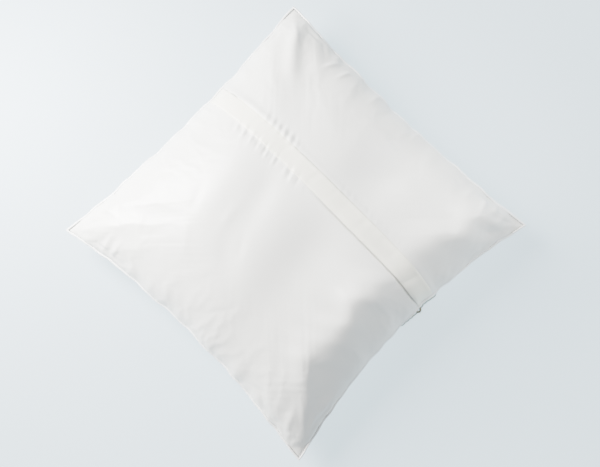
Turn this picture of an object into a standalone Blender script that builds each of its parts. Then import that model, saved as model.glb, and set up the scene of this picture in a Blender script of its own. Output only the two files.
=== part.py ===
"""Ring bearer pillow: a satin cover with a lapped zip in its back, over a removable insert.

It lies face down, so the back with the zip flap looks up (+Z) and the front rests on z = 0.
The sides run along X and Y. Fabric coordinates s and t run from -1 to 1 between the seams.
"""

import math

import bmesh
import bpy
import numpy as np

# Driving sizes of the pillow, in metres.
SIDE = 0.200  # side seam to side seam, measured through the corners
BACK_RISE = 0.033  # crown of the back above the seam
FRONT_DEPTH = 0.030  # depth of the front below the seam before the rest plane flattens it
SEAM_HEIGHT = 0.025  # seam above the rest plane, at the middle of a side
CORNER_DROOP = 0.006  # how much lower the corners lie
CROWN_POWER = 0.5  # 0.5 makes every section through the crown an ellipse
PULL_IN_LEFT = 0.0068  # how far the middle of each side is drawn in by the filling
PULL_IN_RIGHT = 0.0125
PULL_IN_NEAR = 0.0094
PULL_IN_FAR = 0.0059

# Layers, from the outside in.
COVER_WALL = 0.0008
CASING_WALL = 0.0006
CLEARANCE = 0.0003  # between any two pieces that touch on the real pillow
RUNNING = 0.0004  # between the slider and what it passes

# Piping in the edge seam.
PIPING_RADIUS = 0.0006

# Lapped flap over the zip. Its centre line leans and droops a little towards the side seams.
FLAP_Y = 0.0250
FLAP_WIDTH = 0.012
FLAP_WALL = 0.0008
FLAP_LEAN = 0.0008
FLAP_DROOP = 0.0028
FLAP_END_LEFT = 0.017  # sewn-down length at each end, measured from the side seam
FLAP_END_RIGHT = 0.015
FLAP_STEP = 0.0012  # slit between the free flap and its sewn-down end

# Zip, size 3 coil.
ZIP_Y = 0.0246
TAPE_REACH = 0.012  # from the zip's centre line to the tape's outer edge
TAPE_WALL = 0.0004
TAPE_TAIL = 0.007  # tape beyond each stop
COIL_GAP = 0.0010  # between the two coil rows, for the slider's wedge
COIL_WIDTH = 0.0015
COIL_HEIGHT = 0.0013
STOP_LENGTH = 0.0018
BOTTOM_SETBACK = 0.0175  # from the flap's left end to the bottom stop, for the pull tab
SLIDER_LENGTH = 0.0085
SLIDER_WIDTH = 0.0065
SLIDER_PLATE = 0.0006
SLIDER_NOSE = 0.0028  # width of the slider at its closed end
SLIDER_SHOULDER = 0.0020  # length over which it narrows to the nose
SLIDER_TAPER = 0.0006  # how much each side draws in towards the other end
WEDGE_WIDTH = 0.0004
WEDGE_LENGTH = 0.0030
BAIL_WIDTH = 0.0010
BAIL_LENGTH = 0.0050
BAIL_STRAP = 0.0005
BAIL_HOLE = 0.0011  # height of the opening under the bail
BAIL_OPENING = 0.0032  # its length
PULL_LENGTH = 0.012
PULL_WIDTH = 0.0036
PULL_WALL = 0.0006
PULL_CHAMFER = 0.0010

# Front trim band and the made-up bow that the rings are tied to.
TRIM_Y = 0.0145
TRIM_WIDTH = 0.026
TRIM_WALL = 0.0008
TRIM_LIFT = 0.0001  # the trim and the bow stay this far above the rest plane
BOW_LENGTH = 0.046
BOW_WIDTH = 0.015
RIBBON_WALL = 0.0005
LOOP_WALL = 0.0009
KNOT_LENGTH = 0.007
KNOT_FLARE = 0.001  # from the knot to where the loops and the tails start to widen
WAIST_WIDTH = 0.006
TAIL_WIDTH = 0.007

# Proportions of the bow, as shares of its half length or half width.
LOBE_AT = 0.6  # where a loop is widest
LOBE_END_AT = 0.9
LOBE_END_WIDTH = 0.8
TAIL_END_AT = 0.85

# Fineness of the grids, and fabric shares that keep their lines apart.
ARC_STEPS = 12
SOLVER_STEPS = 12
LINE_APART = 0.035
SOFT_LINE_APART = 0.030
ROW_APART = 0.050
EDGE_APART = 0.020
SEAM_LINE = 0.999
TRIM_END = 0.985  # where the trim band goes into the side seams
GROOVE_FADE_START = 0.93  # the insert's groove under the zip fades out near the side seams
GROOVE_FADE_END = 0.99

HALF = SIDE / 2
ZIP_GROOVE_FLAT = SLIDER_WIDTH / 2 + 0.001  # half width of the level floor under the slider
ZIP_STACK = 2 * SLIDER_PLATE + 2 * CLEARANCE + TAPE_WALL + CLEARANCE + COIL_HEIGHT
SLIDER_HEIGHT = ZIP_STACK + BAIL_HOLE + BAIL_STRAP
CASING_INSET = COVER_WALL + TAPE_WALL + 2 * CLEARANCE
FILLING_INSET = CASING_INSET + CASING_WALL + CLEARANCE
BOW_DEPTH = RIBBON_WALL * 3 + LOOP_WALL + 3 * CLEARANCE
GROOVE_EDGE = TAPE_REACH + 0.0005


def clear_scene():
    for obj in list(bpy.data.objects):
        bpy.data.objects.remove(obj, do_unlink=True)


def make_material(name, colour, roughness, metallic):
    material = bpy.data.materials.new(name)
    material.use_nodes = True
    shader = material.node_tree.nodes["Principled BSDF"]
    shader.inputs["Base Color"].default_value = (*colour, 1.0)
    shader.inputs["Roughness"].default_value = roughness
    shader.inputs["Metallic"].default_value = metallic
    return material


def link_mesh(name, mesh, material, parent=None):
    obj = bpy.data.objects.new(name, mesh)
    obj.parent = parent
    bpy.context.scene.collection.objects.link(obj)
    mesh.materials.append(material)
    mesh.shade_smooth()
    mesh.set_sharp_from_angle(angle=math.radians(40))
    return obj


def make_axis(name, location, rotation=(0.0, 0.0, 0.0)):
    empty = bpy.data.objects.new(name, None)
    empty.location = location
    empty.rotation_euler = rotation
    bpy.context.scene.collection.objects.link(empty)
    return empty


# The pillow's form.


def drawn_in(position, across, low, high):
    """Share of its width that a side loses at this point, from the pull-in of the two sides."""
    mean = (high + low) / 2 / HALF
    lean = (high - low) / 2 / HALF
    return 1 - (mean + lean * position) * (1 - across**2)


def plan(s, t, inset=0.0):
    """X and Y of a fabric point, for a layer that lies inset metres inside the cover.

    Inner layers stay out of the corners, which the filling doesn't reach.
    """
    reach = HALF - inset - max(inset, 0.0) * (s * t) ** 2
    x = reach * s * drawn_in(s, t, PULL_IN_LEFT, PULL_IN_RIGHT)
    y = reach * t * drawn_in(t, s, PULL_IN_NEAR, PULL_IN_FAR)
    return x, y


def t_at(s, y, inset=0.0):
    """Fabric coordinate t of the point at height y on the column s."""
    t = y / HALF
    for _ in range(SOLVER_STEPS):
        t = y / ((HALF - inset) * drawn_in(t, s, PULL_IN_NEAR, PULL_IN_FAR))
    return t


def s_at(x, t):
    s = x / HALF
    for _ in range(SOLVER_STEPS):
        s = x / (HALF * drawn_in(s, t, PULL_IN_LEFT, PULL_IN_RIGHT))
    return s


def bulge(s, t):
    """0 at the seams and 1 at the crown."""
    return np.maximum((1 - s**2) * (1 - t**2), 0.0) ** CROWN_POWER


def seam_z(s, t, inset=0.0):
    x, y = plan(s, t, inset)
    return SEAM_HEIGHT - CORNER_DROOP * (x * y / HALF**2) ** 2


def back_z(s, t, inset=0.0):
    return seam_z(s, t, inset) + CLEARANCE / 2 + (BACK_RISE - inset) * bulge(s, t)


def ramp(value, start, end):
    """0 up to start, 1 from end on, and smooth between them."""
    share = np.clip((value - start) / (end - start), 0.0, 1.0)
    return share * share * (3 - 2 * share)


# The zip runs on a circular arc over the crown, so that its slider travels on a fixed axis.

ZIP_T = t_at(0.0, ZIP_Y)
SEAM_X_RIGHT = plan(1.0, ZIP_T)[0]
SEAM_X_LEFT = plan(-1.0, ZIP_T)[0]
FLAP_X_RIGHT = SEAM_X_RIGHT - FLAP_END_RIGHT
FLAP_X_LEFT = SEAM_X_LEFT + FLAP_END_LEFT
COIL_X_LEFT = FLAP_X_LEFT + BOTTOM_SETBACK
SLIDER_X = FLAP_X_RIGHT - STOP_LENGTH - RUNNING - SLIDER_LENGTH / 2


def zip_circle():
    """Centre and radius of the circle through the cover's height at both flap ends and the middle."""
    xs = np.array([FLAP_X_LEFT, 0.0, FLAP_X_RIGHT])
    zs = np.array([float(back_z(s_at(x, ZIP_T), ZIP_T)) for x in xs])
    sides = np.stack([np.diff(xs), np.diff(zs)], axis=1) * 2
    x, z = np.linalg.solve(sides, np.diff(xs**2 + zs**2))
    return float(x), float(z), float(math.hypot(xs[1] - x, zs[1] - z))


ZIP_CENTRE_X, ZIP_CENTRE_Z, ZIP_RADIUS = zip_circle()


def arc_z(x):
    return ZIP_CENTRE_Z + np.sqrt(ZIP_RADIUS**2 - (np.asarray(x) - ZIP_CENTRE_X) ** 2)


def groove(y):
    """1 along the zip, 0 beyond its tapes."""
    return 1 - ramp(np.abs(y - ZIP_Y), ZIP_GROOVE_FLAT, GROOVE_EDGE)


def tape_depth():
    """Depth of the tape's top face below the arc, at the coil."""
    return SLIDER_HEIGHT - SLIDER_PLATE - CLEARANCE - TAPE_WALL


def flap_line(x, side):
    """Y of the flap's free edge (side -1) or stitched edge (side +1)."""
    share = x / HALF
    return FLAP_Y - FLAP_LEAN * share - FLAP_DROOP * share**4 + side * FLAP_WIDTH / 2


# Levels of the front where it rests: the trim and the bow press their own thickness into it.

TRIM_LOW = t_at(0.0, TRIM_Y - TRIM_WIDTH / 2)
TRIM_HIGH = t_at(0.0, TRIM_Y + TRIM_WIDTH / 2)
BOW_LOW = t_at(0.0, TRIM_Y - BOW_WIDTH / 2 - 2 * CLEARANCE)
BOW_HIGH = t_at(0.0, TRIM_Y + BOW_WIDTH / 2 + 2 * CLEARANCE)
BOW_S = s_at(BOW_LENGTH / 2 + 2 * CLEARANCE, 0.0)
SHOULDER = 0.002 / HALF  # width of the slopes around the trim and the bow, in fabric shares
TRIM_RECESS = TRIM_LIFT + TRIM_WALL + CLEARANCE


def between(value, low, high):
    return ramp(value, low - SHOULDER, low) * (1 - ramp(value, high, high + SHOULDER))


def bow_dent(s, t):
    return (BOW_DEPTH + CLEARANCE) * between(s, -BOW_S, BOW_S) * between(t, BOW_LOW, BOW_HIGH)


def rest_level(s, t):
    edge = CLEARANCE / HALF
    return TRIM_RECESS * between(t, TRIM_LOW - edge, TRIM_HIGH + edge) + bow_dent(s, t)


def front_z(s, t, inset=0.0):
    hanging = seam_z(s, t, inset) - CLEARANCE / 2 - (FRONT_DEPTH - inset) * bulge(s, t)
    return np.maximum(hanging, rest_level(s, t) + inset)


# Grids of fabric points, shared by the layers so that their facets stay parallel.


def arc_lines(steps):
    """Lines that crowd towards the seams, where the form turns over."""
    return [math.sin(math.radians(-90 + 180 * i / steps)) for i in range(steps + 1)]


def with_lines(base, special, apart=LINE_APART):
    """The special lines, and those of the base lines that don't crowd them."""
    kept = [b for b in base if abs(b) > SEAM_LINE or all(abs(b - v) > apart for v in special)]
    return sorted(kept + list(special))


def grid(columns, rows):
    """Arrays of s and t. A row is a fabric share, or a function of s that gives one."""
    s = np.repeat(np.array(columns)[:, None], len(rows), axis=1)
    t = np.array([[row(c) if callable(row) else row for row in rows] for c in columns])
    return s, t


def straight(y):
    return lambda s: t_at(s, y)


def layer(s, t, height, inset):
    x, y = plan(s, t, inset)
    return np.stack([x, y, height(s, t, inset)], axis=-1)


def sheet_mesh(name, top, bottom):
    """A closed solid between two grids of points of the same shape."""
    columns, rows = top.shape[:2]
    work = bmesh.new()
    upper = [[work.verts.new(top[i, j]) for j in range(rows)] for i in range(columns)]
    lower = [[work.verts.new(bottom[i, j]) for j in range(rows)] for i in range(columns)]
    for i in range(columns - 1):
        for j in range(rows - 1):
            work.faces.new((upper[i][j], upper[i + 1][j], upper[i + 1][j + 1], upper[i][j + 1]))
            work.faces.new((lower[i][j], lower[i][j + 1], lower[i + 1][j + 1], lower[i + 1][j]))
    rim = [(i, 0) for i in range(columns)] + [(columns - 1, j) for j in range(1, rows)]
    rim += [(i, rows - 1) for i in range(columns - 2, -1, -1)]
    rim += [(0, j) for j in range(rows - 2, 0, -1)]
    for (i, j), (k, m) in zip(rim, rim[1:] + rim[:1]):
        work.faces.new((lower[i][j], lower[k][m], upper[k][m], upper[i][j]))
    mesh = bpy.data.meshes.new(name)
    work.to_mesh(mesh)
    work.free()
    return mesh


def outline_mesh(name, outline, low, high, hole=None):
    """A flat plate cut to an outline in X and Y, with an optional hole of four corners."""
    work = bmesh.new()
    loops = [outline] + ([hole] if hole else [])
    edges = []
    for loop in loops:
        verts = [work.verts.new((x, y, low)) for x, y in loop]
        edges += [work.edges.new(pair) for pair in zip(verts, verts[1:] + verts[:1])]
    bmesh.ops.triangle_fill(work, edges=edges, use_beauty=True)
    raised = bmesh.ops.extrude_face_region(work, geom=work.faces[:])
    moved = [item for item in raised["geom"] if isinstance(item, bmesh.types.BMVert)]
    bmesh.ops.translate(work, verts=moved, vec=(0, 0, high - low))
    bmesh.ops.recalc_face_normals(work, faces=work.faces)
    mesh = bpy.data.meshes.new(name)
    work.to_mesh(mesh)
    work.free()
    return mesh


def box_mesh(name, low, high):
    (x0, y0, z0), (x1, y1, z1) = low, high
    return outline_mesh(name, [(x0, y0), (x1, y0), (x1, y1), (x0, y1)], z0, z1)


def add_union(obj, other_mesh):
    """Joins a helper solid to the object, and hides the helper."""
    helper = bpy.data.objects.new(obj.name + "_helper", other_mesh)
    helper.parent = obj.parent
    helper.location = obj.location
    helper.hide_render = True
    helper.display_type = "WIRE"
    bpy.context.scene.collection.objects.link(helper)
    union = obj.modifiers.new("Join", "BOOLEAN")
    union.operation = "UNION"
    union.object = helper


# Cover.

BASE = arc_lines(ARC_STEPS)
FINE = arc_lines(2 * ARC_STEPS)


def flap_columns():
    """Columns of the back: where the free flap ends, and the slit beyond each end."""
    ends = []
    for x, sign in ((FLAP_X_LEFT, -1), (FLAP_X_RIGHT, 1)):
        ends.append(s_at(x, ZIP_T))
        ends.append(s_at(x + sign * FLAP_STEP, ZIP_T))
        ends.append(s_at(x + sign * (FLAP_STEP + CLEARANCE), ZIP_T))
    return with_lines(FINE, ends)


def sewn_down(s):
    """True where the flap is stitched to the cover, near its ends."""
    left = s_at(FLAP_X_LEFT - FLAP_STEP - CLEARANCE / 2, ZIP_T)
    right = s_at(FLAP_X_RIGHT + FLAP_STEP + CLEARANCE / 2, ZIP_T)
    return s < left or s > right


def flap_t(s, side, offset=0.0):
    t = ZIP_T
    for _ in range(SOLVER_STEPS):
        t = t_at(s, flap_line(plan(s, t)[0], side) + offset)
    return t


def main_panel_edge(s):
    if sewn_down(s):
        return flap_t(s, -1, -CLEARANCE)
    return t_at(s, ZIP_Y - COIL_GAP / 2 - COIL_WIDTH - 2 * CLEARANCE - CLEARANCE / 2)


def small_panel_edge(s):
    return flap_t(s, -1 if sewn_down(s) else 1)


def front_columns():
    return [-BOW_S - SHOULDER, -BOW_S, BOW_S, BOW_S + SHOULDER]


def front_rows():
    edge = CLEARANCE / HALF
    rows = [TRIM_LOW - edge - SHOULDER, TRIM_LOW - edge, BOW_LOW - SHOULDER, BOW_LOW]
    return rows + [BOW_HIGH, BOW_HIGH + SHOULDER, TRIM_HIGH + edge, TRIM_HIGH + edge + SHOULDER]


def groove_ys():
    middle = (ZIP_GROOVE_FLAT + GROOVE_EDGE) / 2
    reaches = (-GROOVE_EDGE, -middle, -ZIP_GROOVE_FLAT, ZIP_GROOVE_FLAT, middle, GROOVE_EDGE)
    return [ZIP_Y + reach for reach in reaches]


def soft_grid():
    """The one grid of the front panel and of the whole insert."""
    special = front_rows() + [t_at(0.0, y) for y in groove_ys()]
    rows = with_lines(BASE, special, SOFT_LINE_APART)
    return grid(with_lines(BASE, front_columns()), rows)


def make_front_panel(material):
    s, t = soft_grid()
    mesh = sheet_mesh("front_panel", layer(s, t, front_z, COVER_WALL), layer(s, t, front_z, 0.0))
    link_mesh("front_panel", mesh, material)


def make_back_panel_main(material):
    rows = [t for t in BASE if t < t_at(0.0, ZIP_Y - GROOVE_EDGE) - ROW_APART]
    rows += [straight(ZIP_Y - GROOVE_EDGE), main_panel_edge]
    s, t = grid(flap_columns(), rows)
    t[:, -2] = np.minimum(t[:, -2], t[:, -1] - EDGE_APART)
    mesh = sheet_mesh("back_panel_main", layer(s, t, back_z, 0.0), layer(s, t, back_z, COVER_WALL))
    link_mesh("back_panel_main", mesh, material)


def make_back_panel_small(material):
    rows = [small_panel_edge, straight(ZIP_Y + GROOVE_EDGE)]
    rows += [t for t in BASE if t > t_at(0.0, ZIP_Y + GROOVE_EDGE) + ROW_APART]
    s, t = grid(flap_columns(), rows)
    mesh = sheet_mesh("back_panel_small", layer(s, t, back_z, 0.0), layer(s, t, back_z, COVER_WALL))
    link_mesh("back_panel_small", mesh, material)


def make_piping(material):
    """A thin cord all round, just outside the edge seam."""
    side = FINE[:-1]
    loop = [(v, -1.0) for v in side] + [(1.0, v) for v in side]
    loop += [(-v, 1.0) for v in side] + [(-1.0, -v) for v in side]
    curve = bpy.data.curves.new("edge_piping", "CURVE")
    curve.dimensions = "3D"
    curve.bevel_depth = PIPING_RADIUS
    curve.bevel_resolution = 1
    spline = curve.splines.new("POLY")
    spline.points.add(len(loop) - 1)
    spline.use_cyclic_u = True
    for point, (s, t) in zip(spline.points, loop):
        x, y = plan(s, t, -PIPING_RADIUS - 2 * CLEARANCE)
        point.co = (x, y, seam_z(s, t, -PIPING_RADIUS), 1.0)
    obj = bpy.data.objects.new("edge_piping", curve)
    bpy.context.scene.collection.objects.link(obj)
    curve.materials.append(material)


def make_flap(material):
    """The free part of the flap, on an axis along its stitched edge at the crown."""
    columns = [c for c in flap_columns() if not sewn_down(c)][1:-1]
    rows = [lambda c: flap_t(c, -1), lambda c: flap_t(c, 0), lambda c: flap_t(c, 1, -CLEARANCE)]
    s, t = grid(columns, rows)
    top = layer(s, t, back_z, 0.0)
    bottom = top.copy()
    top[..., 2] += CLEARANCE + FLAP_WALL
    bottom[..., 2] += CLEARANCE
    crown = back_z(0.0, flap_t(0.0, 1)) + CLEARANCE + FLAP_WALL
    axis_point = np.array([0.0, flap_line(0.0, 1), float(crown)])
    mesh = sheet_mesh("zip_flap", top - axis_point, bottom - axis_point)
    link_mesh("zip_flap", mesh, material, make_axis("flap_axis", axis_point))


# Zip.


def make_tape(name, side, material):
    """Woven tape, level beside the coil and rising to lie under the panel."""
    low = s_at(FLAP_X_LEFT - TAPE_TAIL, ZIP_T)
    high = s_at(FLAP_X_RIGHT + TAPE_TAIL, ZIP_T)
    inner = [c for c in flap_columns() if low + EDGE_APART < c < high - EDGE_APART]
    columns = [low] + inner + [high]
    middle = (ZIP_GROOVE_FLAT + GROOVE_EDGE) / 2
    reaches = (COIL_GAP / 2, ZIP_GROOVE_FLAT, middle, TAPE_REACH)
    s, t = grid(columns, [straight(y) for y in sorted(ZIP_Y + side * r for r in reaches)])
    points = layer(s, t, back_z, 0.0)
    share = groove(points[..., 1])
    under_panel = points[..., 2] - COVER_WALL - CLEARANCE
    top = points.copy()
    top[..., 2] = share * (arc_z(points[..., 0]) - tape_depth()) + (1 - share) * under_panel
    bottom = top.copy()
    bottom[..., 2] -= TAPE_WALL
    link_mesh(name, sheet_mesh(name, top, bottom), material)


def zip_bar(name, x_ends, y_ends, z_ends, steps, material):
    """A bar that follows the zip's arc; its heights are measured from the arc."""
    x, y = np.meshgrid(np.linspace(*x_ends, steps + 1), y_ends, indexing="ij")
    bottom = np.stack([x, y, arc_z(x) + z_ends[0]], axis=-1)
    top = np.stack([x, y, arc_z(x) + z_ends[1]], axis=-1)
    link_mesh(name, sheet_mesh(name, top, bottom), material)


def coil_heights():
    """Lower and upper face of the coils, from the arc."""
    low = -tape_depth() + CLEARANCE
    return low, low + COIL_HEIGHT


def coil_ys(side):
    near = ZIP_Y + side * COIL_GAP / 2
    return sorted((near, near + side * COIL_WIDTH))


def make_coil(name, side, material):
    start = COIL_X_LEFT + STOP_LENGTH + CLEARANCE
    end = FLAP_X_RIGHT - STOP_LENGTH - CLEARANCE
    zip_bar(name, (start, end), coil_ys(side), coil_heights(), 2 * ARC_STEPS, material)


def make_top_stop(name, side, material):
    ends = (FLAP_X_RIGHT - STOP_LENGTH, FLAP_X_RIGHT)
    zip_bar(name, ends, coil_ys(side), coil_heights(), 1, material)


def make_bottom_stop(material):
    """One staple across both tapes."""
    reach = COIL_GAP / 2 + COIL_WIDTH
    low, high = coil_heights()
    x_ends = (COIL_X_LEFT, COIL_X_LEFT + STOP_LENGTH)
    y_ends = (ZIP_Y - reach, ZIP_Y + reach)
    zip_bar("zip_bottom_stop", x_ends, y_ends, (low, high + CLEARANCE), 1, material)


def plate_outline():
    """The slider's plate seen from above: broad at the open end, narrow at the nose."""
    half = SLIDER_LENGTH / 2
    wide = SLIDER_WIDTH / 2
    tail = wide - SLIDER_TAPER
    nose = SLIDER_NOSE / 2
    near = [(-half, -tail), (half - SLIDER_SHOULDER, -wide), (half, -nose)]
    return near + [(x, -y) for x, y in reversed(near)]


def make_slider(material):
    """Two plates on a thin wedge, with a bail on top. Its axis is the centre of the zip's arc."""
    angle = math.asin((SLIDER_X - ZIP_CENTRE_X) / ZIP_RADIUS)
    axis = make_axis("slider_axis", (ZIP_CENTRE_X, ZIP_Y, ZIP_CENTRE_Z), (0.0, angle, 0.0))
    base = ZIP_RADIUS - SLIDER_HEIGHT
    deck = ZIP_STACK
    upper = outline_mesh("slider_upper_plate", plate_outline(), deck - SLIDER_PLATE, deck)
    slider = link_mesh("zip_slider", upper, material, axis)
    slider.location = (0.0, 0.0, base)
    add_union(slider, outline_mesh("slider_lower_plate", plate_outline(), 0.0, SLIDER_PLATE))
    back = SLIDER_LENGTH / 2
    wedge_low = (back - WEDGE_LENGTH, -WEDGE_WIDTH / 2, SLIDER_PLATE / 2)
    wedge_high = (back - WEDGE_LENGTH / 4, WEDGE_WIDTH / 2, deck - SLIDER_PLATE / 2)
    add_union(slider, box_mesh("slider_wedge", wedge_low, wedge_high))
    top = deck + BAIL_HOLE + BAIL_STRAP
    reach = BAIL_LENGTH / 2
    side = BAIL_WIDTH / 2
    post = (BAIL_LENGTH - BAIL_OPENING) / 2
    for sign in (-1, 1):
        near, far = sorted((sign * reach, sign * (reach - post)))
        low = (near, -side, deck - SLIDER_PLATE / 2)
        high = (far, side, top - BAIL_STRAP / 2)
        add_union(slider, box_mesh("bail_post", low, high))
    add_union(slider, box_mesh("bail_strap", (-reach, -side, top - BAIL_STRAP), (reach, side, top)))
    return slider


def make_pull(slider, material):
    """A flat tab whose end bar passes under the bail; its origin is the pivot."""
    bar = PULL_WALL / 2
    side = PULL_WIDTH / 2
    far = -PULL_LENGTH
    upper = [(bar, side), (far + PULL_CHAMFER, side), (far, side - PULL_CHAMFER)]
    outline = upper + [(x, -y) for x, y in reversed(upper)]
    eye = BAIL_WIDTH / 2 + CLEARANCE
    hole_end = -BAIL_LENGTH / 2 - 2 * CLEARANCE
    hole = [(-bar, -eye), (hole_end, -eye), (hole_end, eye), (-bar, eye)]
    mesh = outline_mesh("zip_pull", outline, -PULL_WALL / 2, PULL_WALL / 2, hole)
    pull = link_mesh("zip_pull", mesh, material, slider)
    pull.location = (0.0, 0.0, ZIP_STACK + BAIL_HOLE / 2)


# Insert.


def grooved(s, t, inset):
    """The back of the insert, which gives way under the zip."""
    x, y = plan(s, t, inset)
    share = groove(y) * (1 - ramp(np.abs(s), GROOVE_FADE_START, GROOVE_FADE_END))
    floor = arc_z(x) - SLIDER_HEIGHT - RUNNING - (inset - CASING_INSET)
    return share * floor + (1 - share) * back_z(s, t, inset)


def make_insert_casing_back(material):
    s, t = soft_grid()
    outer = layer(s, t, grooved, CASING_INSET)
    inner = layer(s, t, grooved, CASING_INSET + CASING_WALL)
    link_mesh("insert_casing_back", sheet_mesh("insert_casing_back", outer, inner), material)


def make_insert_casing_front(material):
    s, t = soft_grid()
    outer = layer(s, t, front_z, CASING_INSET)
    inner = layer(s, t, front_z, CASING_INSET + CASING_WALL)
    link_mesh("insert_casing_front", sheet_mesh("insert_casing_front", inner, outer), material)


def make_filling(material):
    s, t = soft_grid()
    top = layer(s, t, grooved, FILLING_INSET)
    bottom = layer(s, t, front_z, FILLING_INSET)
    link_mesh("fibre_filling", sheet_mesh("fibre_filling", top, bottom), material)


# Front trim and bow.


def make_trim_band(material):
    def outer(s, t, inset):
        hanging = seam_z(s, t, inset) - CLEARANCE / 2 - (FRONT_DEPTH - inset) * bulge(s, t)
        return np.maximum(hanging, bow_dent(s, t) + TRIM_RECESS + inset)

    columns = [c for c in with_lines(BASE, front_columns()) if abs(c) < TRIM_END]
    columns = [-TRIM_END] + columns + [TRIM_END]
    rows = [TRIM_LOW, BOW_LOW - SHOULDER, BOW_LOW, BOW_HIGH, BOW_HIGH + SHOULDER, TRIM_HIGH]
    s, t = grid(columns, rows)
    top = layer(s, t, outer, -CLEARANCE)
    bottom = layer(s, t, outer, -CLEARANCE - TRIM_WALL)
    link_mesh("front_trim_band", sheet_mesh("front_trim_band", top, bottom), material)


def make_bow(material):
    """Loops, tails and a knot around their waists, pressed flat under the pillow."""
    knot_low = TRIM_LIFT
    loops_low = knot_low + RIBBON_WALL + CLEARANCE
    tails_low = loops_low + LOOP_WALL + CLEARANCE
    half = BOW_LENGTH / 2
    waist = WAIST_WIDTH / 2
    knot = KNOT_LENGTH / 2
    lobe = BOW_WIDTH / 2
    neck = knot + KNOT_FLARE
    shoulder = (half * LOBE_END_AT, lobe * LOBE_END_WIDTH)
    upper = [(neck, waist), (half * LOBE_AT, lobe), shoulder]
    right = upper + [(half, 0.0)] + [(x, -y) for x, y in reversed(upper)]
    loops = [(-x, y) for x, y in reversed(right)] + right
    loops = [(x, y + TRIM_Y) for x, y in loops]
    mesh = outline_mesh("bow_loops", loops, loops_low, loops_low + LOOP_WALL)
    link_mesh("bow_loops", mesh, material)
    end = half * TAIL_END_AT
    right = [(knot, KNOT_FLARE - waist), (end - TAIL_WIDTH, -lobe), (end, -lobe),
             (end - TAIL_WIDTH / 2, -waist), (knot, waist)]
    tails = right + [(-x, y) for x, y in reversed(right)]
    tails = [(x, y + TRIM_Y) for x, y in tails]
    mesh = outline_mesh("bow_tails", tails, tails_low, tails_low + RIBBON_WALL)
    link_mesh("bow_tails", mesh, material)
    make_knot(knot, waist + CLEARANCE, knot_low, tails_low + RIBBON_WALL + CLEARANCE, material)


def make_knot(half, reach, low, high, material):
    """A flat sleeve of ribbon around the waists of the loops and the tails."""
    wall = RIBBON_WALL
    inner = [(-reach, low + wall), (reach, low + wall), (reach, high), (-reach, high)]
    outer = [(-reach - wall, low), (reach + wall, low), (reach + wall, high + wall),
             (-reach - wall, high + wall)]
    work = bmesh.new()
    rings = [[work.verts.new((x, y + TRIM_Y, z)) for y, z in ring]
             for ring in (outer, inner) for x in (-half, half)]
    outer_low, outer_high, inner_low, inner_high = rings
    for i in range(4):
        j = (i + 1) % 4
        for a, b in ((outer_low, outer_high), (inner_low, inner_high),
                     (outer_low, inner_low), (outer_high, inner_high)):
            work.faces.new((a[i], a[j], b[j], b[i]))
    bmesh.ops.recalc_face_normals(work, faces=work.faces)
    mesh = bpy.data.meshes.new("bow_knot")
    work.to_mesh(mesh)
    work.free()
    link_mesh("bow_knot", mesh, material)


def main():
    clear_scene()
    satin = (0.86, 0.85, 0.80)
    weave = (0.84, 0.82, 0.76)
    nylon = (0.88, 0.86, 0.80)
    metal = (0.60, 0.58, 0.52)
    lacquer = (0.87, 0.85, 0.79)
    muslin = (0.88, 0.87, 0.84)
    make_front_panel(make_material("front_satin", satin, 0.38, 0.0))
    make_back_panel_main(make_material("back_satin", satin, 0.38, 0.0))
    make_back_panel_small(make_material("back_small_satin", satin, 0.38, 0.0))
    make_flap(make_material("flap_satin", (0.89, 0.87, 0.80), 0.42, 0.0))
    make_piping(make_material("piping_satin", (0.90, 0.89, 0.86), 0.45, 0.0))
    make_tape("zip_tape_lower", -1, make_material("tape_lower_weave", weave, 0.8, 0.0))
    make_tape("zip_tape_upper", 1, make_material("tape_upper_weave", weave, 0.8, 0.0))
    make_coil("zip_coil_lower", -1, make_material("coil_lower_nylon", nylon, 0.35, 0.0))
    make_coil("zip_coil_upper", 1, make_material("coil_upper_nylon", nylon, 0.35, 0.0))
    make_top_stop("zip_top_stop_lower", -1, make_material("stop_lower_metal", metal, 0.3, 1.0))
    make_top_stop("zip_top_stop_upper", 1, make_material("stop_upper_metal", metal, 0.3, 1.0))
    make_bottom_stop(make_material("bottom_stop_metal", metal, 0.3, 1.0))
    slider = make_slider(make_material("slider_lacquer", lacquer, 0.3, 0.3))
    make_pull(slider, make_material("pull_lacquer", lacquer, 0.3, 0.3))
    make_insert_casing_back(make_material("casing_back_muslin", muslin, 0.9, 0.0))
    make_insert_casing_front(make_material("casing_front_muslin", muslin, 0.9, 0.0))
    make_filling(make_material("polyester_fibre", (0.93, 0.93, 0.92), 1.0, 0.0))
    make_trim_band(make_material("antique_gold_trim", (0.34, 0.27, 0.12), 0.5, 0.6))
    make_bow(make_material("bow_satin_ribbon", (0.89, 0.88, 0.84), 0.35, 0.0))


main()
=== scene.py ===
"""Looks of the ring bearer pillow: satin cover with its zip flap, piping, insert, front trim and bow.

Everything is in metres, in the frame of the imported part: the pillow lies face down, its back with the
zip flap up, and its sides run along X and Y. Fabric coordinates s and t run from -1 to 1 between the
seams, and u and v run from 0 to 1 along the cloth.
"""

import math

import bmesh
import bpy
import numpy as np
from mathutils import Matrix, Vector


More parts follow.
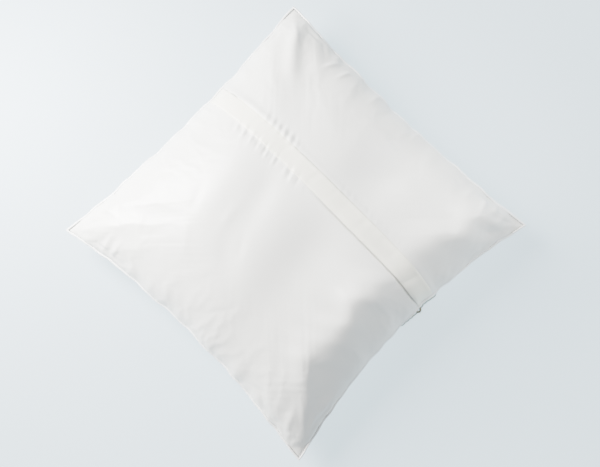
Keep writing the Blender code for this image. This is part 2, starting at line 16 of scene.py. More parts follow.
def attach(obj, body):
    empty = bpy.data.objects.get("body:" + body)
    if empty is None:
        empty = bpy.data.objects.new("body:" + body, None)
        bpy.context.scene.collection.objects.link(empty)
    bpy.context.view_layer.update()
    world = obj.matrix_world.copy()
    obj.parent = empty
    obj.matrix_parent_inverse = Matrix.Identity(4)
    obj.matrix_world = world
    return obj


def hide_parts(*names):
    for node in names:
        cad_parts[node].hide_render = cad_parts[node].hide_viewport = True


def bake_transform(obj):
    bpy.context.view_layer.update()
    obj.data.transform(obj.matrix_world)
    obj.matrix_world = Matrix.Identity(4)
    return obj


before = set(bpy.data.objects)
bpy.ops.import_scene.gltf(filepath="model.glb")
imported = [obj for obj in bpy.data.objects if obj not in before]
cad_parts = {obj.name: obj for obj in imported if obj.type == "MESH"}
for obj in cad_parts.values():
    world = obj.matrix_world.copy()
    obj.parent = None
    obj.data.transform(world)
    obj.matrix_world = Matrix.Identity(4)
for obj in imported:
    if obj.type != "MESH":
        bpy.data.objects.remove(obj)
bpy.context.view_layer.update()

# Sizes of the part, as its own source gives them.
SIDE = 0.200
HALF = SIDE / 2
BACK_RISE = 0.033
FRONT_DEPTH = 0.030
SEAM_HEIGHT = 0.025
CORNER_DROOP = 0.006
PULL_IN_LEFT, PULL_IN_RIGHT = 0.0068, 0.0125
PULL_IN_NEAR, PULL_IN_FAR = 0.0094, 0.0059
COVER_WALL = 0.0008
CASING_WALL = 0.0006
CLEARANCE = 0.0003
RUNNING = 0.0004
PIPING_RADIUS = 0.0006
FLAP_Y, FLAP_WIDTH = 0.0250, 0.012
FLAP_LEAN, FLAP_DROOP = 0.0008, 0.0028
FLAP_END_LEFT, FLAP_END_RIGHT = 0.017, 0.015
ZIP_Y = 0.0246
TAPE_REACH, TAPE_WALL, TAPE_TAIL = 0.012, 0.0004, 0.007
COIL_GAP, COIL_WIDTH, COIL_HEIGHT = 0.0010, 0.0015, 0.0013
STOP_LENGTH, BOTTOM_SETBACK = 0.0018, 0.0175
SLIDER_LENGTH, SLIDER_WIDTH, SLIDER_PLATE, SLIDER_NOSE = 0.0085, 0.0065, 0.0006, 0.0028
BAIL_WIDTH, BAIL_LENGTH, BAIL_STRAP, BAIL_HOLE = 0.0010, 0.0050, 0.0005, 0.0011
PULL_LENGTH, PULL_WIDTH, PULL_WALL = 0.012, 0.0036, 0.0006
TRIM_Y, TRIM_WIDTH, TRIM_WALL, TRIM_LIFT = 0.0145, 0.026, 0.0008, 0.0001
BOW_LENGTH, BOW_WIDTH, KNOT_LENGTH, WAIST_WIDTH, TAIL_WIDTH = 0.046, 0.015, 0.007, 0.006, 0.007
RIBBON_WALL, LOOP_WALL = 0.0005, 0.0009

ZIP_GROOVE_FLAT = SLIDER_WIDTH / 2 + 0.001
GROOVE_EDGE = TAPE_REACH + 0.0005
ZIP_STACK = 2 * SLIDER_PLATE + 2 * CLEARANCE + TAPE_WALL + CLEARANCE + COIL_HEIGHT
SLIDER_HEIGHT = ZIP_STACK + BAIL_HOLE + BAIL_STRAP
TAPE_DEPTH = SLIDER_HEIGHT - SLIDER_PLATE - CLEARANCE - TAPE_WALL
CASING_INSET = COVER_WALL + TAPE_WALL + 2 * CLEARANCE
FILLING_INSET = CASING_INSET + CASING_WALL + CLEARANCE
BOW_DEPTH = RIBBON_WALL * 3 + LOOP_WALL + 3 * CLEARANCE
TRIM_RECESS = TRIM_LIFT + TRIM_WALL + CLEARANCE
SHOULDER = 0.002 / HALF

# Fineness: cells of the displacement field and of the trial cloth, frames of its simulation, and
# the columns and rows of the back panels, closer together beside the flap.
FIELD_CELLS = 400
SIM_CELLS = 104
SIM_FRAMES = 12
PANEL_COLUMNS = 230
MAIN_ROWS = np.concatenate([np.linspace(0, 0.87, 116), np.linspace(0.87, 1, 46)[1:]])
SMALL_ROWS = np.concatenate([np.linspace(0, 0.16, 32), np.linspace(0.16, 1, 72)[1:]])


# The pillow's form, as the part has it.


def ramp(value, start, end):
    share = np.clip((value - start) / (end - start), 0.0, 1.0)
    return share * share * (3 - 2 * share)


def bell(value, width):
    return np.exp(-((value / width) ** 2))


def within(value, start, full, fade, end):
    """1 from full to fade, and 0 before start and after end."""
    return ramp(value, start, full) * (1 - ramp(value, fade, end))


def stacked(*parts):
    """Points or vectors from their coordinates, spread to one shape."""
    return np.stack(np.broadcast_arrays(*parts), axis=-1)


def drawn_in(position, across, low, high):
    mean = (high + low) / 2 / HALF
    lean = (high - low) / 2 / HALF
    return 1 - (mean + lean * position) * (1 - across**2)


def plan(s, t, inset=0.0):
    reach = HALF - inset - max(inset, 0.0) * (s * t) ** 2
    x = reach * s * drawn_in(s, t, PULL_IN_LEFT, PULL_IN_RIGHT)
    y = reach * t * drawn_in(t, s, PULL_IN_NEAR, PULL_IN_FAR)
    return x, y


def t_at(s, y):
    t = y / HALF + 0.0 * s
    for _ in range(12):
        t = y / (HALF * drawn_in(t, s, PULL_IN_NEAR, PULL_IN_FAR))
    return t


def s_at(x, t):
    s = x / HALF + 0.0 * t
    for _ in range(12):
        s = x / (HALF * drawn_in(s, t, PULL_IN_LEFT, PULL_IN_RIGHT))
    return s


def bulge(s, t):
    return np.sqrt(np.maximum((1 - s**2) * (1 - t**2), 0.0))


def seam_z(s, t, inset=0.0):
    x, y = plan(s, t, inset)
    return SEAM_HEIGHT - CORNER_DROOP * (x * y / HALF**2) ** 2


def back_z(s, t, inset=0.0):
    return seam_z(s, t, inset) + CLEARANCE / 2 + (BACK_RISE - inset) * bulge(s, t)


def back_form(s, t, inset=0.0):
    x, y = plan(s, t, inset)
    return stacked(x, y, back_z(s, t, inset))


ZIP_T = float(t_at(0.0, ZIP_Y))
SEAM_X_RIGHT = float(plan(1.0, ZIP_T)[0])
SEAM_X_LEFT = float(plan(-1.0, ZIP_T)[0])
FLAP_X_RIGHT = SEAM_X_RIGHT - FLAP_END_RIGHT
FLAP_X_LEFT = SEAM_X_LEFT + FLAP_END_LEFT
COIL_X_LEFT = FLAP_X_LEFT + BOTTOM_SETBACK
SLIDER_X = FLAP_X_RIGHT - STOP_LENGTH - RUNNING - SLIDER_LENGTH / 2


def zip_circle():
    xs = np.array([FLAP_X_LEFT, 0.0, FLAP_X_RIGHT])
    zs = back_z(s_at(xs, ZIP_T), ZIP_T)
    sides = np.stack([np.diff(xs), np.diff(zs)], axis=1) * 2
    x, z = np.linalg.solve(sides, np.diff(xs**2 + zs**2))
    return float(x), float(z), float(math.hypot(xs[1] - x, zs[1] - z))


ZIP_CENTRE_X, ZIP_CENTRE_Z, ZIP_RADIUS = zip_circle()


def arc_z(x):
    return ZIP_CENTRE_Z + np.sqrt(ZIP_RADIUS**2 - (np.asarray(x) - ZIP_CENTRE_X) ** 2)


def groove(y):
    return 1 - ramp(np.abs(y - ZIP_Y), ZIP_GROOVE_FLAT, GROOVE_EDGE)


def flap_line(x, q):
    """Y across the flap: q is 0 at its stitched edge and 1 at its free edge."""
    share = x / HALF
    return FLAP_Y - FLAP_LEAN * share - FLAP_DROOP * share**4 + (0.5 - q) * FLAP_WIDTH


def flap_t(s, q):
    t = ZIP_T + 0.0 * s
    for _ in range(8):
        t = t_at(s, flap_line(plan(s, t)[0], q))
    return t


TRIM_LOW = float(t_at(0.0, TRIM_Y - TRIM_WIDTH / 2))
TRIM_HIGH = float(t_at(0.0, TRIM_Y + TRIM_WIDTH / 2))
BOW_LOW = float(t_at(0.0, TRIM_Y - BOW_WIDTH / 2 - 2 * CLEARANCE))
BOW_HIGH = float(t_at(0.0, TRIM_Y + BOW_WIDTH / 2 + 2 * CLEARANCE))
BOW_S = float(s_at(BOW_LENGTH / 2 + 2 * CLEARANCE, 0.0))


def between(value, low, high):
    return within(value, low - SHOULDER, low, high, high + SHOULDER)


def bow_dent(s, t):
    return (BOW_DEPTH + CLEARANCE) * between(s, -BOW_S, BOW_S) * between(t, BOW_LOW, BOW_HIGH)


def rest_level(s, t):
    edge = CLEARANCE / HALF
    return TRIM_RECESS * between(t, TRIM_LOW - edge, TRIM_HIGH + edge) + bow_dent(s, t)


def hanging_z(s, t, inset=0.0):
    return seam_z(s, t, inset) - CLEARANCE / 2 - (FRONT_DEPTH - inset) * bulge(s, t)


# Cloth coordinates: u runs evenly along the cloth of the middle section, from seam to seam.


def lengths(path):
    """How far along the path each of its points lies."""
    return np.concatenate([[0.0], np.cumsum(np.linalg.norm(np.diff(path, axis=0), axis=1))])


def cloth_table():
    s = np.sin(np.linspace(-math.pi / 2, math.pi / 2, 4001))
    line = back_form(s, 0.0 * s)
    return s, lengths(line)


CLOTH_S, CLOTH_LENGTH = cloth_table()
CLOTH_SIDE = float(CLOTH_LENGTH[-1])


def s_of(u):
    return np.interp(u, CLOTH_LENGTH / CLOTH_SIDE, CLOTH_S)


def u_of(s):
    return np.interp(s, CLOTH_S, CLOTH_LENGTH / CLOTH_SIDE)


def sample(field, u, v):
    """Smooth (Catmull-Rom) value of a square field at u and v."""
    cells = field.shape[0] - 1
    weights, places = [], []
    for w in (u, v):
        place = np.clip(w, 0.0, 1.0) * cells
        base = np.clip(np.floor(place).astype(int), 0, cells - 1)
        f = (place - base)[..., None]
        weights.append([
            0.5 * (-f + 2 * f**2 - f**3), 0.5 * (2 - 5 * f**2 + 3 * f**3),
            0.5 * (f + 4 * f**2 - 3 * f**3), 0.5 * (-(f**2) + f**3)])
        places.append([np.clip(base + k, 0, cells) for k in (-1, 0, 1, 2)])
    total = 0.0
    for a in range(4):
        for b in range(4):
            total = total + weights[0][a] * weights[1][b] * field[places[0][a], places[1][b]]
    return total


def blurred(field, cells):
    """The field smoothed with a bell of that many cells."""
    reach = int(3 * cells)
    kernel = np.exp(-0.5 * (np.arange(-reach, reach + 1) / cells) ** 2)
    kernel /= kernel.sum()
    for axis in (0, 1):
        margins = [(reach, reach) if k == axis else (0, 0) for k in range(field.ndim)]
        padded = np.pad(field, margins, "edge")
        field = np.apply_along_axis(lambda line: np.convolve(line, kernel, "valid"), axis, padded)
    return field


WAVES_SUMMED, WAVES_CLIP = 7, 3.2


def waves(place, length, seed):
    """Irregular waves of about that length along one coordinate, from -1 to 1."""
    chance = np.random.default_rng(seed)
    total = 0.0
    for _ in range(WAVES_SUMMED):
        wave = length * chance.uniform(0.6, 1.7)
        total = total + np.sin(2 * math.pi * place / wave + chance.uniform(0, 2 * math.pi))
    return np.clip(total / WAVES_CLIP, -1.0, 1.0)


# Mesh helpers.


def linked(name, data):
    obj = bpy.data.objects.new(name, data)
    bpy.context.scene.collection.objects.link(obj)
    return obj


def put_mesh(name, points, faces, fabric=None):
    mesh = bpy.data.meshes.new(name)
    mesh.from_pydata(np.asarray(points, float).tolist(), [], [list(f) for f in faces])
    if fabric is not None:
        layer = mesh.attributes.new("fabric", "FLOAT_VECTOR", "POINT")
        layer.data.foreach_set("vector", np.asarray(fabric, np.float32).ravel())
    mesh.shade_smooth()
    return linked(name, mesh)


def grid_faces(columns, rows, start=0, flip=False):
    index = np.arange(columns * rows).reshape(columns, rows) + start
    corners = [index[:-1, :-1], index[1:, :-1], index[1:, 1:], index[:-1, 1:]]
    if flip:
        corners = corners[::-1]
    return np.stack(corners, axis=-1).reshape(-1, 4)


def shell(name, top, bottom, cloth):
    """A closed sheet between two grids of points. cloth is the place of each point on the flat cloth."""
    columns, rows = top.shape[:2]
    count = columns * rows
    index = np.arange(count).reshape(columns, rows)
    rim = np.concatenate([index[:, 0], index[-1, 1:], index[-2::-1, -1], index[0, -2:0:-1]])
    after = np.roll(rim, -1)
    faces = np.concatenate([
        grid_faces(columns, rows), grid_faces(columns, rows, count, flip=True),
        np.stack([rim + count, after + count, after, rim], axis=-1)])
    points = np.concatenate([top.reshape(-1, 3), bottom.reshape(-1, 3)])
    fabric = np.concatenate([cloth.reshape(-1, 3), cloth.reshape(-1, 3) + [0, 0, 0.001]])
    obj = put_mesh(name, points, faces, fabric)
    obj.data.set_sharp_from_angle(angle=math.radians(60))
    return obj


def tube(name, path, radius, sides=8, closed=False, squash=1.0, up=(0.0, 0.0, 1.0)):
    """A round cord along a path of points; squash flattens it along the up direction."""
    path = np.asarray(path, float)
    ahead = np.roll(path, -1, axis=0) - np.roll(path, 1, axis=0)
    if not closed:
        ahead[0], ahead[-1] = path[1] - path[0], path[-1] - path[-2]
    ahead /= np.linalg.norm(ahead, axis=1, keepdims=True)
    side = np.cross(ahead, np.asarray(up, float))
    side /= np.linalg.norm(side, axis=1, keepdims=True)
    rise = np.cross(side, ahead)
    radius = np.broadcast_to(np.asarray(radius, float), (len(path),))[:, None, None]
    turn = np.linspace(0, 2 * math.pi, sides, endpoint=False)
    ring = np.cos(turn)[None, :, None] * side[:, None]
    ring = ring + squash * np.sin(turn)[None, :, None] * rise[:, None]
    points = (path[:, None] + radius * ring).reshape(-1, 3)
    index = np.arange(len(path) * sides).reshape(-1, sides)
    ahead_index = np.roll(index, -1, axis=0) if closed else index[1:]
    here = index if closed else index[:-1]
    faces = stacked(here, np.roll(here, -1, 1), np.roll(ahead_index, -1, 1), ahead_index)
    faces = faces.reshape(-1, 4).tolist()
    if not closed:
        faces += [list(index[0][::-1]), list(index[-1])]
    fabric = stacked(lengths(path)[:, None], turn[None] * radius[:, 0], 0.0)
    return put_mesh(name, points, faces, fabric.reshape(-1, 3))


def put_work(name, work, sharp_degrees):
    """One object from bmesh work, smooth but for its sharp edges."""
    mesh = bpy.data.meshes.new(name)
    work.to_mesh(mesh)
    work.free()
    mesh.shade_smooth()
    mesh.set_sharp_from_angle(angle=math.radians(sharp_degrees))
    return linked(name, mesh)


def reworked(obj, change):
    """Runs a bmesh change on the object's mesh."""
    work = bmesh.new()
    work.from_mesh(obj.data)
    change(work)
    work.to_mesh(obj.data)
    work.free()


def joined(name, objects):
    """One object from several, which are removed."""
    work = bmesh.new()
    for obj in objects:
        work.from_mesh(obj.data)
        bpy.data.objects.remove(obj, do_unlink=True)
    return put_work(name, work, 50)


def plate(name, outline, low, high, bevel, hole=None):
    """A plate cut to an outline in its own X and Y, with rounded edges."""
    work = bmesh.new()
    edges = []
    for loop in [outline] + ([hole] if hole else []):
        verts = [work.verts.new((x, y, low)) for x, y in loop]
        edges += [work.edges.new(pair) for pair in zip(verts, verts[1:] + verts[:1])]
    bmesh.ops.triangle_fill(work, edges=edges, use_beauty=True)
    raised = bmesh.ops.extrude_face_region(work, geom=work.faces[:])
    moved = [item for item in raised["geom"] if isinstance(item, bmesh.types.BMVert)]
    bmesh.ops.translate(work, verts=moved, vec=(0, 0, high - low))
    bmesh.ops.recalc_face_normals(work, faces=work.faces)
    sharp = [e for e in work.edges if len(e.link_faces) == 2 and e.calc_face_angle() > 0.6]
    bmesh.ops.bevel(work, geom=sharp, offset=bevel, segments=2, profile=0.5, affect="EDGES",
                    clamp_overlap=True)
    return put_work(name, work, 35)


def rounded(outline, radius, steps=4):
    """The outline with its corners rounded."""
    result = []
    count = len(outline)
    for i in range(count):
        before, here, after = (Vector(outline[(i + k) % count]) for k in (-1, 0, 1))
        into, out = (before - here).normalized(), (after - here).normalized()
        start, end = here + into * radius, here + out * radius
        for k in range(steps + 1):
            f = k / steps
            result.append(tuple(start * (1 - f) ** 2 + here * 2 * f * (1 - f) + end * f**2))
    return result


# Materials.


def new_material(name, low, high, grain, roughness, metallic=0.0, sheen=0.0, source="fabric", detail=3.0):
    """A material whose colour wanders between two, in patches of 1 / grain metres."""
    material = bpy.data.materials.new(name)
    material.use_nodes = True
    tree = material.node_tree
    shader = tree.nodes["Principled BSDF"]
    shader.inputs["Roughness"].default_value = roughness
    shader.inputs["Metallic"].default_value = metallic
    shader.inputs["Sheen Weight"].default_value = sheen
    shader.inputs["Sheen Roughness"].default_value = 0.4
    mix = node(tree, "ShaderNodeMix", data_type="RGBA")
    tree.links.new(noise(tree, grain, source, detail), mix.inputs[0])
    mix.inputs[6].default_value = (*low, 1.0)
    mix.inputs[7].default_value = (*high, 1.0)
    tree.links.new(mix.outputs[2], shader.inputs["Base Color"])
    return material, tree, shader


def node(tree, kind, **values):
    made = tree.nodes.new(kind)
    for key, value in values.items():
        if key in made.inputs:
            made.inputs[key].default_value = value
        else:
            setattr(made, key, value)
    return made


def coordinates(tree, scale, source="fabric"):
    """Coordinates in the cloth, stretched by scale."""
    if source == "fabric":
        place = node(tree, "ShaderNodeAttribute", attribute_name="fabric").outputs["Vector"]
    else:
        place = tree.nodes.new("ShaderNodeTexCoord").outputs["Object"]
    mapping = tree.nodes.new("ShaderNodeMapping")
    mapping.inputs["Scale"].default_value = scale
    tree.links.new(place, mapping.inputs["Vector"])
    return mapping.outputs["Vector"]


def noise(tree, scale, source="fabric", detail=3.0):
    texture = node(tree, "ShaderNodeTexNoise", Scale=1.0, Detail=detail, Roughness=0.55)
    tree.links.new(coordinates(tree, scale, source), texture.inputs["Vector"])
    return texture.outputs["Fac"]


def roughen(tree, shader, factor, low, high):
    """Spreads the factor, from 0.3 to 0.7, over a range of roughness."""
    change = tree.nodes.new("ShaderNodeMapRange")
    change.inputs["From Min"].default_value = 0.3
    change.inputs["From Max"].default_value = 0.7
    change.inputs["To Min"].default_value = low
    change.inputs["To Max"].default_value = high
    tree.links.new(factor, change.inputs["Value"])
    tree.links.new(change.outputs["Result"], shader.inputs["Roughness"])


def bump(tree, shader, layers):
    """Stacks bumps: each layer is a height, its strength and its depth in metres."""
    last = None
    for height, strength, depth in layers:
        made = node(tree, "ShaderNodeBump", Strength=strength, Distance=depth)
        tree.links.new(height, made.inputs["Height"])
        if last is not None:
            tree.links.new(last, made.inputs["Normal"])
        last = made.outputs["Normal"]
    tree.links.new(last, shader.inputs["Normal"])


def threads(tree, scale, direction, source="fabric"):
    wave = node(tree, "ShaderNodeTexWave", Scale=1.0, Distortion=1.2, Detail=1.5, bands_direction=direction)
    wave.inputs["Detail Scale"].default_value = 0.4
    tree.links.new(coordinates(tree, scale, source), wave.inputs["Vector"])
    return wave.outputs["Fac"]


def satin(name, low, high, roughness):
    """Warp-faced satin: long floats along the cloth, a few slubs, and a soft shine that varies."""
    material, tree, shader = new_material(name, low, high, (55, 80, 55), roughness, sheen=0.25)
    roughen(tree, shader, noise(tree, (60, 700, 60)), roughness - 0.035, roughness + 0.035)
    floats = noise(tree, (700, 5200, 700), detail=2.0)
    slubs = noise(tree, (110, 1500, 110), detail=2.0)
    crossing = threads(tree, (2600, 500, 1), "X")
    bump(tree, shader, [(slubs, 0.10, 0.00025), (floats, 0.16, 0.00010), (crossing, 0.05, 0.00005)])
    return material


def woven(name, low, high, pitch, roughness):
    """Plain weave with a visible thread."""
    material, tree, shader = new_material(name, low, high, (240, 240, 240), roughness, sheen=0.15)
    warp = threads(tree, (1 / pitch, 0.3 / pitch, 1), "X")
    weft = threads(tree, (0.3 / pitch, 1 / pitch, 1), "Y")
    bump(tree, shader, [(warp, 0.5, pitch / 4), (weft, 0.5, pitch / 4)])
    return material


def fibre(name, low, high):
    material, tree, shader = new_material(
        name, low, high, (300, 300, 300), 0.95, sheen=0.4, source="object", detail=5.0)
    bump(tree, shader, [(noise(tree, (500, 1600, 900), "object", 6.0), 0.8, 0.0012)])
    return material


def metal(name, low, high, roughness, metallic):
    material, tree, shader = new_material(
        name, low, high, (900, 900, 900), roughness, metallic, source="object", detail=4.0)
    roughen(tree, shader, noise(tree, (1500, 1500, 1500), "object"), roughness - 0.06, roughness + 0.08)
    bump(tree, shader, [(noise(tree, (2600, 2600, 2600), "object"), 0.12, 0.00005)])
    return material


def nylon(name, low, high):
    material, tree, shader = new_material(name, low, high, (800, 800, 800), 0.32, source="object")
    shader.inputs["Subsurface Weight"].default_value = 0.1
    shader.inputs["Subsurface Radius"].default_value = (0.0006, 0.0006, 0.0005)
    bump(tree, shader, [(noise(tree, (3000, 3000, 3000), "object"), 0.08, 0.00004)])
    return material


def thread_gold(name, low, high):
    """Dull antique gold thread, wound in fine turns."""
    material, tree, shader = new_material(name, low, high, (1400, 1400, 1400), 0.42, 0.75, source="object")
    bump(tree, shader, [(threads(tree, (2600, 1800, 1800), "DIAGONAL", "object"), 0.6, 0.00012)])
    return material


def dress(obj, material, body, slot, *nodes):
    """Gives a piece its material and its CAD body, and hides the nodes it stands for. The slot is not used.
    """
    obj.data.materials.clear()
    obj.data.materials.append(material)
    if body:
        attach(obj, body)
    if nodes:
        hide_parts(*nodes)
    return obj


# Cloth simulation of the back: a square of satin with a little slack, sewn into the seams and blown up.


def simulated_wrinkles():
    """How far a slack cloth lies off its own smooth shape, on an even grid of the cloth."""
    line = np.linspace(0.0, 1.0, SIM_CELLS + 1)
    u, v = np.meshgrid(line, line, indexing="ij")
    start = back_form(s_of(u), s_of(v))
    cloth = put_mesh("cloth_trial", start.reshape(-1, 3), grid_faces(SIM_CELLS + 1, SIM_CELLS + 1))
    index = np.arange((SIM_CELLS + 1) ** 2).reshape(SIM_CELLS + 1, SIM_CELLS + 1)
    edge = np.unique(np.concatenate([index[0], index[-1], index[:, 0], index[:, -1]]))
    pins = cloth.vertex_groups.new(name="seams")
    pins.add([int(i) for i in edge], 1.0, "REPLACE")
    modifier = cloth.modifiers.new("Cloth", "CLOTH")
    settings = modifier.settings
    settings.quality = 5
    settings.mass = 0.3
    settings.tension_stiffness = settings.compression_stiffness = 15
    settings.shear_stiffness = 5
    settings.bending_stiffness = 0.05
    settings.vertex_group_mass = "seams"
    settings.use_pressure = True
    settings.uniform_pressure_force = 0.5
    settings.shrink_min = settings.shrink_max = -0.04
    settings.effector_weights.gravity = 0
    modifier.collision_settings.use_collision = False
    modifier.point_cache.frame_start = 1
    modifier.point_cache.frame_end = SIM_FRAMES
    for step in range(1, SIM_FRAMES + 1):
        bpy.context.scene.frame_set(step)
    result = cloth.evaluated_get(bpy.context.evaluated_depsgraph_get())
    moved = np.empty((SIM_CELLS + 1) ** 2 * 3, np.float32)
    result.data.vertices.foreach_get("co", moved)
    bpy.data.objects.remove(cloth, do_unlink=True)
    bpy.context.scene.frame_set(1)
    offset = moved.reshape(SIM_CELLS + 1, SIM_CELLS + 1, 3).astype(float) - start
    return offset - blurred(offset, 6)


SIMULATED = simulated_wrinkles()


# The form's dressing: broad hollows and ridges, puckers along seams, and the simulated wrinkles.

FIELD_LINE = np.linspace(0.0, 1.0, FIELD_CELLS + 1)
FIELD_U, FIELD_V = np.meshgrid(FIELD_LINE, FIELD_LINE, indexing="ij")
FIELD_S, FIELD_T = s_of(FIELD_U), s_of(FIELD_V)
FIELD_FORM = back_form(FIELD_S, FIELD_T)

# Ridges (height above 0) and hollows (below 0) of the back: middle x and y, direction in degrees,
# half length, half width and height, in millimetres.
BROAD = [
    (62, -20, 92, 50, 13, 5.6),
    (69, 44, 82, 44, 13, 5.0),
    (76, -74, 126, 26, 8, 2.4),
    (84, 84, 48, 16, 8, 1.8),
    (20, -10, 95, 56, 20, -4.4),
    (18, 62, 80, 30, 16, -4.8),
    (75, 78, 66, 26, 11, 4.4),
    (-47, -14, 100, 46, 13, 1.8),
    (-25, -2, 106, 34, 8, -1.3),
    (-14, -42, 130, 18, 7, -0.8),
    (-80, 80, 135, 22, 5, 3.0),
    (-54, 66, 120, 24, 12, -2.0),
    (-80, -80, 45, 20, 8, 1.4),
]


# Single creases and lumps, in the same terms.
CREASES = [
    (-54, 87, 68, 6, 1.5, 0.9),
    (-44, 88, 74, 5, 1.4, 0.8),
    (-20, 90, 82, 4, 1.3, 0.5),
    (14, 89, 98, 4, 1.4, 0.5),
    (62, 87, 84, 5, 1.5, 0.6),
    (73, 88, 100, 6, 1.7, 0.9),
    (82, 90, 112, 5, 1.8, 0.9),
    (79, 94, 100, 4, 2.2, 1.2),
    (83, 92, 98, 5, 2.0, -1.4),
    (87.5, 91, 74, 6, 1.8, 1.6),
    (91.5, 94, 80, 5, 1.7, -1.2),
    (95, 92, 60, 4, 1.8, 1.0),
    (88, 80, 48, 7, 2.2, -0.6),
    (-75, -90, 96, 7, 1.3, 0.6),
    (-68, -90, 93, 7, 1.3, 0.6),
    (-71.5, -90, 95, 6, 1.2, -0.4),
    (-88, -86, 60, 6, 1.5, 0.6),
    (-89, -74, 10, 6, 1.5, 0.5),
    (80, -88, 118, 8, 2.0, 0.7),
    (-86, 88, 140, 9, 1.8, 0.7),
    (-40, -52, 130, 10, 3.0, 0.35),
    (-52, -30, 110, 8, 3.0, -0.35),
    (-30, -26, 100, 9, 3.0, 0.35),
    (-12, -34, 120, 7, 2.6, -0.35),
    (71, 22, 70, 12, 1.8, -0.5),
]


def mounds(x, y, table):
    """Sum of the ridges and hollows of a table."""
    total = 0.0
    for cx, cy, angle, long, wide, height in table:
        c, s = math.cos(math.radians(angle)), math.sin(math.radians(angle))
        dx, dy = x - cx / 1000, y - cy / 1000
        along, across = dx * c + dy * s, dy * c - dx * s
        total = total + height / 1000 * bell(along, long / 1000) * bell(across, wide / 1000)
    return total


def broad_height(x, y):
    """Height of the broad shape, its ridges made a little crooked."""
    right = ramp(x, 0.020, 0.060)
    wander = 0.0026 * waves(y + 0.2 * x, 0.034, 31) + 0.0009 * waves(y - 0.4 * x, 0.016, 32)
    crooked_x = x + right * wander
    crooked_y = y + 0.0020 * waves(x - 0.3 * y, 0.060, 33)
    return mounds(crooked_x, crooked_y, BROAD)


def edge_wave(s, t):
    """How the seam itself wanders, shared by the front, the back and the piping."""
    move = np.zeros(s.shape + (3,))
    for side, (near, along, sign, axis) in enumerate((
            (1 + s, t, -1, 0), (1 - s, t, 1, 0), (1 + t, s, -1, 1), (1 - t, s, 1, 1))):
        fade = np.exp(-near * 14) * (1 - along**2) ** 0.5
        place = along * HALF
        outward = 0.00045 * waves(place, 0.016, 40 + side) - 0.0004
        outward = outward + 0.0004 * waves(place, 0.05, 50 + side)
        upward = 0.0006 * waves(place, 0.021, 60 + side) + 0.0007 * waves(place, 0.06, 70 + side)
        move[..., axis] += fade * sign * outward
        move[..., 2] += fade * upward
    blunt = np.where(s > 0, np.where(t > 0, 0.0, 0.0007), np.where(t > 0, 0.0006, -0.0002))
    corner = blunt * bell((1 - np.abs(s)) + (1 - np.abs(t)), 0.032)
    move[..., 0] -= np.sign(s) * corner
    move[..., 1] -= np.sign(t) * corner
    return move


def seam_puckers(u, v, seed, height, reach, length):
    """Short folds that run away from the seams."""
    total = 0.0
    for side, (away, place) in enumerate(((u, v), (1 - u, v), (v, u), (1 - v, u))):
        away, place = away * CLOTH_SIDE, place * CLOTH_SIDE
        strength = 0.5 + 0.5 * waves(place, 0.045, seed + 10 + side)
        fade = away / reach * np.exp(1 - away / reach)
        lean = place + 0.25 * away * waves(place, 0.05, seed + 20 + side)
        total = total + height * strength * fade * waves(lean, length, seed + side)
    return total


def corner_folds(x, y, corner, heights, width, turn):
    """A fan of folds that run into a corner."""
    dx, dy = corner[0] - x, corner[1] - y
    distance = np.hypot(dx, dy)
    angle = np.arctan2(dy, dx)
    fan = np.sin(turn * angle + 1.3) * ramp(distance, 0.003, 0.010) * (1 - ramp(distance, 0.016, width))
    return heights * fan


def raised_end(x):
    """Where the flap's left end stands a little higher."""
    return within(x, -0.084, -0.072, -0.040, -0.028)


def flap_puckers(x, y):
    """Small gathers beside the flap: above its stitched edge, and below its free edge."""
    above = y - flap_line(x, 0.0)
    below = flap_line(x, 1.0) - y
    gathers_above = within(x, -0.066, -0.056, -0.034, -0.022)
    gathers_above = gathers_above + 0.35 * within(x, 0.000, 0.008, 0.056, 0.066)
    gathers_below = within(x, -0.073, -0.065, -0.022, -0.006)
    slit = within(x, -0.012, 0.020, 0.081, 0.087)
    total = 0.00040 * gathers_above * waves(x + 0.35 * above, 0.0044, 5) * bell(above - 0.0022, 0.0030)
    folds = waves(x - 0.3 * below, 0.0050, 6) * bell(below - 0.0018, 0.0034)
    total = total + 0.00052 * gathers_below * folds
    total = total - 0.0003 * gathers_below * bell(below - 0.0008, 0.0016)
    total = total - 0.0013 * slit * bell(below - 0.0001, 0.0010)
    return total + (0.00040 + 0.00035 * raised_end(x)) * bell(above - 0.0012, 0.0024)


def near_flap(x, y):
    return bell(y - flap_line(x, 0.5), 0.0085)


def normals_of(points):
    along = np.gradient(points, axis=0)
    across = np.gradient(points, axis=1)
    normal = np.cross(along, across)
    return normal / np.maximum(np.linalg.norm(normal, axis=-1, keepdims=True), 1e-12)


def back_field():
    """Displacement of the back's outer face from its form."""
    x, y = FIELD_FORM[..., 0], FIELD_FORM[..., 1]
    inside = ramp(bulge(FIELD_S, FIELD_T), 0.02, 0.30)[..., None]
    away = np.minimum(np.minimum(FIELD_U, 1 - FIELD_U), np.minimum(FIELD_V, 1 - FIELD_V)) * CLOTH_SIDE
    calm = 1 - 0.93 * near_flap(x, y)
    strength = (0.21 + 0.18 * np.exp(-away / 0.014)) * calm
    wrinkles = sample(SIMULATED, FIELD_U, FIELD_V) * strength[..., None]
    up = normals_of(FIELD_FORM)
    height = seam_puckers(FIELD_U, FIELD_V, 100, 0.00030, 0.0030, 0.0090) * calm
    height = height + flap_puckers(x, y)
    height = height + corner_folds(x, y, (0.100, 0.100), 0.0008, 0.030, 15)
    height = height + corner_folds(x, y, (-0.100, -0.100), 0.0004, 0.024, 13)
    height = height + mounds(x, y, CREASES)
    lift = np.zeros_like(FIELD_FORM)
    broad = broad_height(x, y)
    held = bell(y - flap_line(x, 0.5), 0.016)
    lift[..., 2] = broad * (1 - np.where(broad < 0, 0.75, 0.6) * held)
    total = wrinkles + up * height[..., None] * inside + lift * inside
    return total + edge_wave(FIELD_S, FIELD_T)


